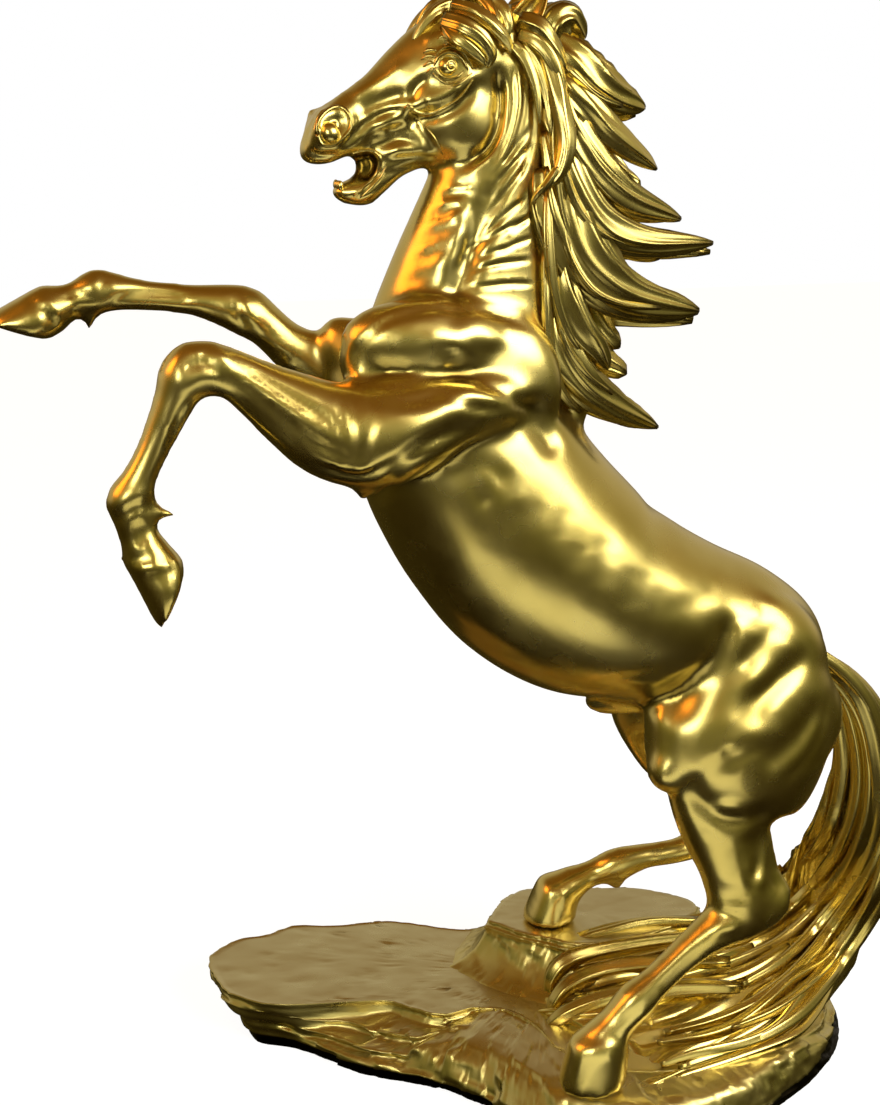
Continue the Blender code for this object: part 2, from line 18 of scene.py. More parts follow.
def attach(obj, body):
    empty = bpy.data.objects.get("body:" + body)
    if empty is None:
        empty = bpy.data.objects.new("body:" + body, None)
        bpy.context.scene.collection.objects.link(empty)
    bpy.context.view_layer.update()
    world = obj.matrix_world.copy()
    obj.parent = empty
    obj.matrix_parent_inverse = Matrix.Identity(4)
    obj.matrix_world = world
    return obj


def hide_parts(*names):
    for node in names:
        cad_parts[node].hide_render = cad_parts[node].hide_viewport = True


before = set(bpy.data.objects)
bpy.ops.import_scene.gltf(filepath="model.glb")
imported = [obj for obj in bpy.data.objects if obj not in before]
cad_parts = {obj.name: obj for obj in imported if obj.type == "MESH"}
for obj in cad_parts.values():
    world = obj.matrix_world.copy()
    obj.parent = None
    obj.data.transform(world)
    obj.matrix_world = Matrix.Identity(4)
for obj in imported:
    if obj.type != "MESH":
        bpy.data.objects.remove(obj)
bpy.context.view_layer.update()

# The photograph and its camera
PHOTO_WIDTH = 880
PHOTO_HEIGHT = 1105
FOCAL_PIXELS = 1522.0
PITCH = math.radians(16.6)
TURN = math.radians(15.0)
EYE = Vector((-0.4142, -1.2659, 0.930))

# Where the drawn figure stands in the part
MIDLINE_Y = -0.030
DECK_HEIGHT = 0.055
MILLIMETRE = 0.001
DECK = 55.0
LEDGE = 50.0

ACROSS = Vector((0, 1, 0))
TO_PART = Matrix.Translation((0, MIDLINE_Y, DECK_HEIGHT)) @ Matrix.Diagonal((MILLIMETRE,) * 3 + (1,))
DRAWN_EYE = TO_PART.inverted() @ EYE

# Cell of the figure's mesh, and how near a point of the head or neck a face is halved
BODY_CELL = 0.0041
REFINED_REACH = 0.004


def pixel_way(u, v):
    """Direction of the camera's ray through a pixel of the photograph."""
    ahead = Vector((math.sin(TURN) * math.cos(PITCH), math.cos(TURN) * math.cos(PITCH), -math.sin(PITCH)))
    right = Vector((math.cos(TURN), -math.sin(TURN), 0))
    up = right.cross(ahead)
    across = (u - PHOTO_WIDTH / 2) / FOCAL_PIXELS
    down = (v - PHOTO_HEIGHT / 2) / FOCAL_PIXELS
    return ahead + right * across - up * down


def at_side(u, v, y):
    """The drawn point under a pixel, y millimetres from the horse's midline."""
    way = pixel_way(u, v)
    return DRAWN_EYE + way * ((y - DRAWN_EYE.y) / way.y)


def at_level(u, v, z):
    """The drawn point under a pixel, z millimetres above the deck."""
    way = pixel_way(u, v)
    return DRAWN_EYE + way * ((z - DRAWN_EYE.z) / way.z)


def between(a, b, c, d, t):
    """The share t of the way from b to c on a smooth curve through all four."""
    return 0.5 * (2 * b + (c - a) * t + (2 * a - 5 * b + 4 * c - d) * t**2 + (3 * b - a - 3 * c + d) * t**3)


def smooth_rows(rows, steps):
    """Rows along a smooth curve that passes through every given row."""
    rows = np.array(rows, float)
    ends = np.vstack([2 * rows[0] - rows[1], rows, 2 * rows[-1] - rows[-2]])
    t = np.linspace(0, 1, steps, endpoint=False)[:, None]
    runs = []
    for a, b, c, d in zip(ends, ends[1:], ends[2:], ends[3:]):
        runs.append(between(a, b, c, d, t))
    return np.vstack(runs + [rows[-1:]])


def noise(*key):
    """A repeatable value between -1 and 1 for whole-number keys."""
    value = math.sin(sum(k * s for k, s in zip(key, (12.9898, 78.233, 37.719)))) * 43758.5453
    return 2 * (value - math.floor(value)) - 1


def bridge(bm, rings):
    """Faces that join a row of closed rings, with a fan at each end."""
    count = len(rings[0])
    for low, high in zip(rings, rings[1:]):
        for i in range(count):
            j = (i + 1) % count
            bm.faces.new((low[i], low[j], high[j], high[i]))
    for ring, turn in ((rings[0], -1), (rings[-1], 1)):
        middle = sum((v.co for v in ring), Vector()) / count
        tip = bm.verts.new(middle)
        for i in range(count):
            j = (i + 1) % count
            bm.faces.new((ring[i], ring[j], tip)[::turn])


def tube(stations, side=ACROSS, flutes=0, flute_depth=0.0, steps=10, sides=48, phase=0.0, wander=0.0):
    """A closed loft through stations of x, y, z, half depth and half width."""
    bm = bmesh.new()
    rows = smooth_rows(stations, steps)
    along = np.gradient(rows[:, :3], axis=0)
    rings = []
    for number, (row, way) in enumerate(zip(rows, along)):
        way = Vector(way).normalized()
        wide = (side - way * side.dot(way)).normalized()
        deep = way.cross(wide)
        ring = []
        for i in range(sides):
            angle = 2 * math.pi * i / sides
            turn = 0.5 * flutes * angle + phase
            if wander:
                across, down = 1.3 * math.cos(angle) + phase, 1.3 * math.sin(angle)
                turn += wander * smooth_noise(Vector((across, down, 2.2 * number / len(rows))))
            swell = 1 + flute_depth * (1 - 2 * abs(math.sin(turn)) ** 0.7)
            out = deep * math.cos(angle) * max(row[3], 0.3)
            out += wide * math.sin(angle) * max(row[4], 0.3)
            ring.append(bm.verts.new(Vector(row[:3]) + out * swell))
        rings.append(ring)
    bridge(bm, rings)
    return bm


def ball(centre, radii, lean=0.0):
    """An ellipsoid of muscle or bone, leaning in the side view by lean degrees."""
    bm = bmesh.new()
    turn = Matrix.Rotation(-math.radians(lean), 4, "Y")
    place = Matrix.Translation(centre) @ turn @ Matrix.Diagonal((*radii, 1))
    bmesh.ops.create_icosphere(bm, subdivisions=4, radius=1, matrix=place)
    return bm


def hoof(y, toe, heel, front, rear, half_width):
    """A hoof between the sole, from toe to heel, and the swollen coronet, front to rear."""
    bm = bmesh.new()
    rings = []
    for rise in np.linspace(0, 1, 9):
        fore = Vector((toe[0], y, toe[1])).lerp(Vector((front[0], y, front[1])), rise)
        back = Vector((heel[0], y, heel[1])).lerp(Vector((rear[0], y, rear[1])), rise)
        wide = half_width * (1 - 0.2 * rise)
        ring = []
        for i in range(36):
            angle = 2 * math.pi * i / 36
            reach = 0.5 - 0.5 * math.cos(angle)
            square = math.copysign(abs(math.sin(angle)) ** 0.8, math.sin(angle))
            spot = fore.lerp(back, reach) + ACROSS * square * wide
            ring.append(bm.verts.new(spot))
        rings.append(ring)
    bridge(bm, rings)
    middle = ((front[0] + rear[0]) / 2, y, (front[1] + rear[1]) / 2 - 1)
    half = math.hypot(rear[0] - front[0], rear[1] - front[1]) / 2
    lean = math.degrees(math.atan2(rear[1] - front[1], rear[0] - front[0]))
    return [bm, ball(middle, (half + 1, 0.84 * half_width, 12), lean)]


def trunk():
    """Barrel from the breast to the rump, and the neck up to the poll."""
    barrel = [
        (-92, 0, 650, 66, 50), (-82, 0, 628, 82, 64), (-66, 0, 592, 93, 75), (-46, 0, 556, 98, 81),
        (-22, 0, 520, 101, 86), (10, 0, 482, 103, 89), (50, 0, 450, 99, 89), (96, 0, 429, 89, 85),
        (145, 0, 408, 81, 80), (190, 0, 384, 82, 78), (226, 0, 356, 78, 70), (256, 0, 326, 54, 50),
    ]
    neck = [
        (-62, 0, 592, 86, 60), (-67, 0, 640, 92, 60), (-61, 0, 690, 83, 52), (-53, 0, 738, 71, 45),
        (-43, 0, 785, 59, 39), (-33, 0, 826, 50, 36), (-26, 0, 866, 44, 34), (-22, 0, 905, 36, 31),
        (-16, 0, 932, 18, 20),
    ]
    shapes = [tube(barrel, sides=128), tube(neck, sides=112)]
    shapes.append(ball((22, 0, 610), (24, 26, 52), -30))
    sheath = [(58, 0, 341, 6, 8), (66, 0, 338, 11, 12), (90, 0, 335, 13, 14), (136, 0, 336, 15, 15)]
    shapes.append(tube(sheath))
    for y in (-1, 1):
        shapes += [
            ball((-134, 27 * y, 640), (36, 27, 44), 8),
            ball((-90 + 14 * y, 46 * y, 682 - 5 * y), (66 - 8 * y, 30, 35), -4),
            ball((-136, 36 * y, 664), (38, 28, 34), 20),
            ball((-157, 42 * y, 672), (22, 22, 27), 20),
            ball((226, 44 * y, 320), (71, 40, 66), -10),
            ball((205, 40 * y, 385), (80, 40, 62), -35),
            ball((-40, 42 * y, 648), (52, 26, 62), 12),
        ]
    return shapes


def head():
    """Skull and upper jaw, open lower jaw with its chin, cheek discs and brows."""
    upper = [
        (-196, 0, 834, 4, 12), (-186, 0, 841, 14, 19), (-171, 0, 851, 20, 22), (-152, 0, 861, 23, 19),
        (-130, 0, 871, 28, 21), (-106, 0, 884, 36, 28), (-82, 0, 896, 42, 34), (-56, 0, 906, 43, 34),
        (-30, 0, 912, 36, 30), (-10, 0, 912, 22, 22),
    ]
    upper_lip = [
        (-200, 0, 834, 3, 9), (-190, 0, 831, 7, 15), (-176, 0, 832, 7, 18), (-160, 0, 838, 6, 18),
        (-144, 0, 841, 6, 18), (-130, 0, 844, 6, 17),
    ]
    lower = [
        (-173, 0, 804, 5, 10), (-165, 0, 803, 9, 14), (-150, 0, 803, 11, 16), (-136, 0, 811, 11, 17),
        (-124, 0, 824, 13, 18), (-104, 0, 838, 18, 21), (-82, 0, 850, 23, 24), (-56, 0, 866, 24, 25),
    ]
    # The cheek that closes the mouth behind its corner
    cheek = [
        (-137, 0, 829, 7, 17), (-122, 0, 837, 15, 20), (-102, 0, 846, 22, 23), (-80, 0, 856, 26, 25),
    ]
    shapes = [tube(upper), tube(upper_lip), tube(lower), tube(cheek)]
    shapes += [
        ball((-148, 0, 800), (12, 12, 10), -20),
        ball((-138, 0, 824), (17, 7, 16), 20),
        ball((-183, 14, 860), (8, 8, 10), 30),
    ]
    for y in (-1, 1):
        shapes += [
            ball((-67, 21 * y, 860), (31, 14, 34), 20),
            ball((-178, 14 * y, 852), (15, 11, 17), 30),
            ball((-88, 27 * y, 903), (13, 10, 10), 20),
            tube([(-128, 20 * y, 866, 4, 3), (-100, 28 * y, 874, 6, 5), (-66, 33 * y, 891, 6, 4)]),
        ]
    return shapes


def near_foreleg():
    """The near foreleg, folded at the knee, its hoof hanging toe down."""
    arm = [
        (-22, -60, 634, 12, 10), (-56, -66, 638, 22, 22), (-95, -70, 634, 31, 29), (-130, -71, 622, 41, 34),
        (-158, -69, 616, 43, 34), (-190, -66, 622, 40, 30), (-218, -64, 638, 33, 26),
         (-245, -63, 656, 25, 21),
        (-268, -62, 671, 20, 18), (-291, -62, 677, 22, 20), (-304, -62, 680, 12, 14),
    ]
    shank = [
        (-296, -62, 690, 10, 12), (-303, -62, 674, 20, 20), (-312, -62, 652, 17, 17),
         (-328, -62, 619, 13.5, 13.5),
        (-342, -62, 592, 14, 14), (-350, -62, 574, 20, 17), (-348, -62, 553, 15, 14),
         (-340, -62, 532, 19, 18),
        (-335, -62, 522, 20, 19),
    ]
    shapes = [tube(arm), tube(shank)]
    shapes.append(ball((-297, -62, 678), (21, 20, 20)))
    elbow = [
        (-150, -66, 598, 26, 18), (-158, -66, 582, 18, 14), (-165, -66, 570, 9, 9), (-169, -66, 562, 3, 4),
    ]
    shapes.append(tube(elbow))
    shapes.append(tube([(-340, -62, 566, 8, 8), (-322, -62, 562, 5, 6), (-309, -62, 556, 1, 2)]))
    shapes.extend(hoof(-62, (-334, 466), (-311, 511), (-360, 528), (-311, 522), 26))
    return shapes


def far_foreleg():
    """The far foreleg, reaching forward and level."""
    arm = [
        (-60, 48, 596, 44, 30), (-110, 54, 618, 44, 32), (-150, 56, 636, 35, 28), (-180, 56, 656, 26, 23),
        (-205, 56, 674, 20, 19), (-222, 56, 690, 19, 18), (-238, 56, 702, 22, 20), (-255, 56, 708, 19, 18),
        (-285, 56, 714, 13.5, 14), (-325, 56, 719, 13.5, 13.5), (-350, 56, 723, 17, 15),
         (-362, 56, 723, 19, 17),
        (-378, 56, 718, 14, 14), (-392, 56, 712, 17, 17), (-400, 56, 709, 18, 18),
    ]
    shapes = [tube(arm)]
    shapes.append(tube([(-362, 56, 712, 8, 8), (-368, 56, 698, 5, 6), (-370, 56, 687, 1, 2)]))
    shapes.extend(hoof(56, (-456, 703), (-401, 684), (-404, 731), (-389, 693), 26))
    return shapes


def near_hind_leg():
    """The near hind leg, crouched far under the body."""
    thigh = [
        (188, -34, 402, 66, 42), (192, -46, 345, 93, 48), (187, -54, 303, 92, 48), (182, -60, 272, 82, 43),
        (173, -66, 248, 58, 35), (171, -71, 226, 43, 30), (175, -80, 200, 34, 26), (180, -87, 175, 32, 23),
        (185, -91, 154, 34, 22), (188, -93, 142, 24, 18),
    ]
    cannon = [
        (229, -91, 160, 10, 10), (212, -91, 154, 20, 17), (180, -92, 148, 27, 21), (152, -94, 136, 20, 18),
        (122, -96, 116, 16, 15), (94, -99, 94, 16, 15), (76, -100, 79, 20, 18), (58, -101, 60, 18, 17),
        (46, -102, 46, 23, 21), (41, -103, 36, 26, 22),
    ]
    shapes = [tube(thigh, sides=96), tube(cannon)]
    shapes += [
        tube([(206, -80, 222, 9, 9), (214, -85, 190, 7, 8), (226, -90, 162, 10, 10)]),
        ball((112, -66, 292), (19, 18, 22), 10),
        tube([(86, -100, 66, 8, 8), (92, -100, 54, 6, 7), (94, -100, 44, 1, 2)]),
    ]
    shapes.extend(hoof(-103, (2, 0), (66, 0), (12, 48), (70, 36), 28))
    return shapes


def far_hind_leg():
    """The far hind leg, its cannon low and its hoof on the raised ledge."""
    thigh = [
        (188, 34, 402, 66, 42), (190, 46, 345, 90, 46), (190, 56, 300, 84, 42), (196, 63, 262, 64, 35),
        (212, 70, 230, 46, 29), (232, 78, 200, 34, 24), (248, 84, 172, 26, 20), (256, 87, 152, 20, 18),
    ]
    cannon = [
        (276, 86, 164, 10, 10), (258, 87, 152, 20, 17), (232, 90, 134, 20, 17), (205, 93, 119, 14, 14),
        (165, 97, 115, 14, 13.5), (142, 100, 109, 18, 16), (128, 102, 105, 18, 16), (108, 105, 98, 14, 14),
        (88, 108, 88, 19, 19), (78, 109, 80, 23, 21),
    ]
    shapes = [tube(thigh, sides=96), tube(cannon)]
    shapes.append(tube([(238, 78, 226, 9, 9), (254, 83, 194, 7, 8), (270, 86, 168, 10, 10)]))
    shapes.append(tube([(134, 102, 94, 10, 10), (136, 102, 84, 9, 9), (136, 102, 77, 5, 6)]))
    shapes.extend(hoof(110, (35, 50), (94, 50), (52, 92), (94, 82), 28))
    return shapes


# Work on a mesh

def linked(name, bm):
    mesh = bpy.data.meshes.new(name)
    bm.to_mesh(mesh)
    bm.free()
    obj = bpy.data.objects.new(name, mesh)
    bpy.context.scene.collection.objects.link(obj)
    return obj


def gathered(shapes, matrix):
    """One bmesh, in metres, of all the shapes."""
    whole = bmesh.new()
    for shape in shapes:
        part = bpy.data.meshes.new("shape")
        shape.to_mesh(part)
        shape.free()
        whole.from_mesh(part)
        bpy.data.meshes.remove(part)
    whole.transform(matrix)
    return whole


def applied(obj):
    """The object with its modifiers made part of its mesh."""
    graph = bpy.context.evaluated_depsgraph_get()
    mesh = bpy.data.meshes.new_from_object(obj.evaluated_get(graph))
    obj.modifiers.clear()
    obj.data = mesh
    return obj


def fused(name, shapes, matrix, cell):
    """One closed mesh, in metres, of shapes that overlap."""
    obj = linked(name, gathered(shapes, matrix))
    remesh = obj.modifiers.new("cells", "REMESH")
    remesh.mode = "VOXEL"
    remesh.voxel_size = cell
    return applied(obj)


def points_of(mesh):
    points = np.empty(len(mesh.vertices) * 3, np.float32)
    mesh.vertices.foreach_get("co", points)
    return points.reshape(-1, 3).astype(float)


def normals_of(mesh):
    normals = np.empty(len(mesh.vertices) * 3, np.float32)
    mesh.vertex_normals.foreach_get("vector", normals)
    return normals.reshape(-1, 3).astype(float)


def place_points(mesh, points):
    mesh.vertices.foreach_set("co", np.asarray(points, np.float32).ravel())
    mesh.update()


def mean_of_neighbours(mesh, values):
    """The mean of each vertex's neighbours, for columns of values."""
    ends = np.empty(len(mesh.edges) * 2, np.int32)
    mesh.edges.foreach_get("vertices", ends)
    a, b = ends.reshape(-1, 2).T
    total = len(values)
    degree = np.maximum(np.bincount(a, minlength=total) + np.bincount(b, minlength=total), 1)
    mean = np.empty_like(values)
    for k in range(values.shape[1]):
        mean[:, k] = (np.bincount(a, values[b, k], total) + np.bincount(b, values[a, k], total)) / degree
    return mean


def relaxed(obj, rounds, share=0.5, weight=None):
    """Evens out the mesh by moving each vertex part of the way to its neighbours' mean."""
    points = points_of(obj.data)
    if weight is None:
        weight = np.ones(len(points))
    for _ in range(rounds):
        points += share * weight[:, None] * (mean_of_neighbours(obj.data, points) - points)
    place_points(obj.data, points)


def distance_to_line(spots, line):
    """Distance of each point to a polyline, and the share of its length there."""
    best = np.full(len(spots), np.inf)
    where = np.zeros(len(spots))
    spans = np.maximum(np.linalg.norm(np.diff(line, axis=0), axis=1), 1e-9)
    walked = np.concatenate([[0], np.cumsum(spans)]) / spans.sum()
    for i, (p, q) in enumerate(zip(line, line[1:])):
        t = np.clip((spots - p) @ (q - p) / spans[i] ** 2, 0, 1)
        away = np.linalg.norm(spots - p - t[:, None] * (q - p), axis=1)
        closer = away < best
        best[closer] = away[closer]
        where[closer] = (walked[i] + t * (walked[i + 1] - walked[i]))[closer]
    return best, where


# Broad grooves between muscles, in the side view: side (0 both), half width, depth, points
CARVING = (
    (0, 7, 5, ((-176, 655), (-150, 652), (-120, 652), (-92, 664), (-66, 656), (-22, 634), (16, 618))),
    (1, 12, 8, ((-150, 560), (-110, 590), (-56, 606), (-10, 610))),
    (0, 10, 5, ((-30, 640), (-12, 612), (4, 590))),
    (0, 13, 6, ((162, 442), (150, 404), (126, 376), (106, 340))),
    (0, 12, 3.5, ((222, 392), (190, 360), (176, 336))),
    (0, 12, 4, ((258, 350), (216, 316), (184, 302))),
    (0, 8, 5, ((128, 286), (140, 262), (168, 250), (206, 254))),
    (0, 7, 4, ((184, 236), (188, 214), (192, 190))),
    (0, 8, 4, ((-150, 530), (-118, 486), (-84, 440), (-36, 402))),
    (0, 6, 4, ((-40, 895), (-44, 870), (-50, 840), (-74, 828))),
    (0, 8, 5, ((-70, 810), (-66, 780), (-74, 740), (-92, 700))),
)


def carved(obj):
    """Presses the broad grooves into both sides of the figure."""
    mesh = obj.data
    points = points_of(mesh)
    normals = normals_of(mesh)
    drawn = np.array(TO_PART.inverted())
    flat = (points @ drawn[:3, :3].T + drawn[:3, 3])[:, [0, 2]]
    depth = np.zeros(len(points))
    for side, half_width, deep, line in CARVING:
        line = smooth_rows(line, 4)
        low, high = line.min(axis=0) - 3 * half_width, line.max(axis=0) + 3 * half_width
        near = np.flatnonzero(((flat > low) & (flat < high)).all(axis=1))
        away, where = distance_to_line(flat[near], line)
        press = np.exp(-((away / half_width) ** 2)) * np.minimum(1, 5 * np.minimum(where, 1 - where) + 0.15)
        facing = normals[near, 1] if side else np.abs(normals[near, 1])
        press *= np.clip(1.6 * facing * (side or 1) - 0.25, 0, 1)
        depth[near] += deep * press
    place_points(mesh, points - normals * depth[:, None] * MILLIMETRE)


# Strokes of the modelling tool as pixels of the photograph:
# both sides or the near one, half width and depth in millimetres (a ridge is negative), lines
BOTH, NEAR = True, False
NECK_STROKES = (
    (BOTH, 1.9, 1.3, ((490, 214), (508, 190), (526, 166)), ((496, 186), (512, 166), (530, 146)),
     ((484, 236), (502, 218), (524, 199))),
    (BOTH, 1.8, 1.1, ((500, 168), (514, 150), (530, 128))),
    (BOTH, 1.8, 1.0, ((512, 232), (524, 222), (534, 210)), ((500, 252), (516, 244), (532, 238)),
     ((480, 258), (494, 252), (506, 248))),
    (BOTH, 2.0, 1.2, ((466, 250), (490, 238), (512, 226), (534, 218)), ((474, 270), (500, 264), (530, 260)),
     ((470, 287), (490, 286), (508, 284), (532, 284))),
    (BOTH, 5.0, 0.8, ((442, 197), (458, 193), (470, 184)), ((428, 216), (448, 212), (466, 202)),
     ((412, 260), (432, 256), (454, 244))),
    (BOTH, 5.0, 0.7, ((420, 236), (444, 231), (466, 222)), ((404, 283), (424, 277), (446, 268))),
    (BOTH, 5.0, 0.6, ((392, 304), (420, 297), (452, 292), (486, 298))),
    (BOTH, 3.0, 1.3, ((376, 326), (398, 318), (430, 310), (470, 311), (504, 318), (532, 330))),
    (BOTH, 3.0, -0.9, ((372, 318), (398, 307), (432, 302), (476, 303), (506, 308), (538, 320))),
    (BOTH, 2.4, -1.0, ((446, 188), (462, 188), (474, 187)), ((440, 204), (452, 202), (462, 202))),
    (BOTH, 2.6, -1.0, ((426, 228), (446, 222), (460, 212)), ((418, 250), (432, 246), (442, 240))),
    (BOTH, 9.0, -2.6, ((470, 190), (462, 220), (450, 250), (430, 280))),
    (BOTH, 8.0, 2.4, ((492, 180), (486, 214), (474, 246), (462, 276))),
    (BOTH, 2.4, -0.8, ((346, 370), (345, 356), (357, 338), (373, 323), (392, 312))),
    (BOTH, 2.4, 0.9, ((353, 369), (357, 352), (367, 339), (381, 326), (398, 316))),
    (BOTH, 4.0, 3.6, ((496, 74), (500, 92), (500, 112), (497, 130), (488, 147), (476, 158), (464, 166))),
    (BOTH, 3.0, -1.4, ((503, 80), (506, 104), (503, 132), (492, 154), (474, 168))),
    (BOTH, 2.6, 1.3, ((512, 70), (513, 100), (508, 130), (497, 160))),
    (BOTH, 2.2, 1.2, ((522, 70), (524, 104), (518, 134), (506, 160)),
     ((532, 90), (534, 120), (530, 150), (520, 176))),
    (BOTH, 4.0, -1.4, ((517, 74), (519, 104), (513, 134), (502, 160))),
)
TRUNK_STROKES = (
    (BOTH, 5.0, 2.6, ((518, 504), (510, 518), (502, 536)), ((544, 500), (534, 520), (524, 546), (521, 556)),
     ((650, 570), (644, 592), (640, 610)), ((440, 588), (460, 606), (476, 630), (498, 646), (524, 662))),
    (BOTH, 5.0, 2.4, ((567, 508), (562, 524), (559, 542))),
    (BOTH, 5.0, 2.2, ((580, 545), (577, 556), (577, 568))),
    (BOTH, 5.5, 3.0, ((608, 536), (601, 556), (597, 588))),
    (BOTH, 5.5, 2.8, ((636, 568), (630, 590), (624, 612))),
    (BOTH, 6.0, -2.0, ((502, 520), (512, 505), (526, 492)), ((618, 560), (616, 580), (610, 600))),
    (BOTH, 6.0, -2.2, ((588, 550), (590, 566), (586, 584))),
    (BOTH, 5.0, 2.0, ((662, 586), (656, 604), (650, 622))),
    (BOTH, 5.0, -2.6, ((380, 502), (398, 520), (416, 536), (436, 552), (450, 560))),
    (BOTH, 4.5, -2.6, ((440, 574), (462, 592), (478, 618), (498, 632), (523, 649), (549, 669))),
    (BOTH, 5.0, 3.0, ((660, 610), (684, 606), (706, 596), (716, 580))),
    (BOTH, 4.0, -2.8, ((722, 612), (712, 642), (694, 664), (680, 678), (668, 700), (662, 722))),
    (BOTH, 5.0, 3.4, ((706, 636), (690, 656), (668, 668), (640, 676), (612, 682))),
    (BOTH, 3.5, 2.4, ((672, 706), (668, 724), (664, 748))),
    (BOTH, 3.5, -2.0, ((662, 700), (660, 726), (656, 760))),
    (BOTH, 3.0, 1.6, ((600, 684), (622, 678), (648, 676), (672, 678)), ((602, 692), (626, 686), (652, 690))),
    (NEAR, 3.0, 2.4, ((594, 700), (600, 712), (612, 716))),
    (NEAR, 3.0, 1.8, ((606, 699), (610, 706), (622, 708))),
)
SHOULDER_STROKES = (
    (NEAR, 5.0, 4.0, ((372, 498), (396, 470), (420, 446), (458, 432), (498, 424))),
    (BOTH, 7.0, 3.0, ((420, 452), (448, 430), (476, 414), (504, 412), (526, 416))),
    (BOTH, 4.5, 3.4, ((350, 384), (382, 388), (410, 386), (440, 378), (470, 379), (498, 390), (524, 398))),
    (BOTH, 4.5, 3.2, ((440, 392), (462, 402), (490, 408), (524, 405))),
    (BOTH, 7.0, -2.6, ((452, 404), (470, 396), (496, 398), (520, 400))),
    (BOTH, 5.0, 2.2, ((470, 344), (486, 352), (506, 350)), ((446, 346), (458, 356), (478, 362))),
    (BOTH, 4.5, -2.0, ((424, 350), (436, 338), (452, 342), (464, 350))),
    (BOTH, 6.0, 2.6, ((454, 464), (474, 486), (486, 510))),
    (BOTH, 6.0, 2.2, ((470, 462), (492, 470), (508, 486))),
)
ARM_STROKES = (
    (NEAR, 2.6, 1.6, ((338, 404), (346, 430), (354, 458)), ((346, 412), (352, 436), (358, 462)),
     ((358, 400), (359, 430), (361, 466)), ((366, 404), (364, 432), (363, 464)),
     ((375, 412), (369, 438), (365, 462))),
    (NEAR, 2.8, 1.6, ((328, 420), (338, 440), (350, 464))),
    (NEAR, 3.0, -2.0, ((362, 392), (361, 430), (360, 472)),
     ((316, 459), (336, 465), (356, 470), (376, 464))),
    (NEAR, 3.6, 2.2, ((318, 464), (336, 471), (356, 475), (378, 470), (396, 458))),
    (NEAR, 4.0, 2.4, ((240, 364), (262, 380), (288, 396), (316, 412), (336, 424)),
     ((236, 378), (258, 398), (286, 422), (314, 442), (344, 456)), ((236, 300), (238, 316), (248, 330))),
    (NEAR, 4.0, 2.0, ((232, 390), (254, 410), (282, 432), (306, 450)), ((190, 350), (188, 362), (196, 372)),
     ((206, 348), (204, 360), (210, 370))),
    (NEAR, 4.0, -1.6, ((238, 371), (262, 390), (290, 410), (318, 430))),
    (NEAR, 4.5, 2.6, ((184, 372), (200, 362), (220, 370), (230, 384))),
    (NEAR, 4.0, -2.0, ((222, 352), (224, 366), (232, 380))),
    (NEAR, 3.4, 2.6, ((196, 396), (180, 414), (166, 444), (156, 470), (150, 496))),
    (NEAR, 3.0, 2.0, ((180, 420), (168, 450), (160, 478), (156, 500)), ((30, 300), (44, 312), (56, 326)),
     ((62, 300), (74, 294), (86, 296), (98, 300))),
    (NEAR, 3.4, -1.6, ((150, 500), (154, 474), (164, 446), (178, 416))),
    (NEAR, 4.5, 3.0, ((112, 520), (128, 512), (142, 506), (156, 508))),
    (NEAR, 3.0, 2.4, ((138, 522), (141, 534), (142, 548))),
    (NEAR, 3.4, 2.4, ((118, 556), (132, 560), (150, 556), (176, 548))),
    (NEAR, 2.6, -1.8, ((120, 564), (140, 569), (160, 566), (178, 560))),
    (NEAR, 2.4, 1.6, ((146, 560), (150, 572), (151, 584)), ((158, 558), (162, 570), (163, 582)),
     ((168, 556), (172, 566), (175, 576))),
    (NEAR, 4.0, 3.0, ((110, 304), (130, 295), (160, 294), (190, 298))),
    (NEAR, 3.0, -1.6, ((120, 302), (150, 301), (184, 305))),
    (NEAR, 3.4, 2.0, ((104, 300), (102, 288), (104, 276))),
    (NEAR, 3.6, -2.0, ((244, 300), (250, 316), (262, 322))),
    (NEAR, 3.2, -2.2, ((262, 336), (286, 348), (312, 360)), ((268, 344), (288, 364), (300, 374))),
    (NEAR, 2.4, -1.6, ((36, 302), (52, 308), (60, 318))),
    (NEAR, 2.4, 1.4, ((44, 306), (50, 316), (52, 326))),
)
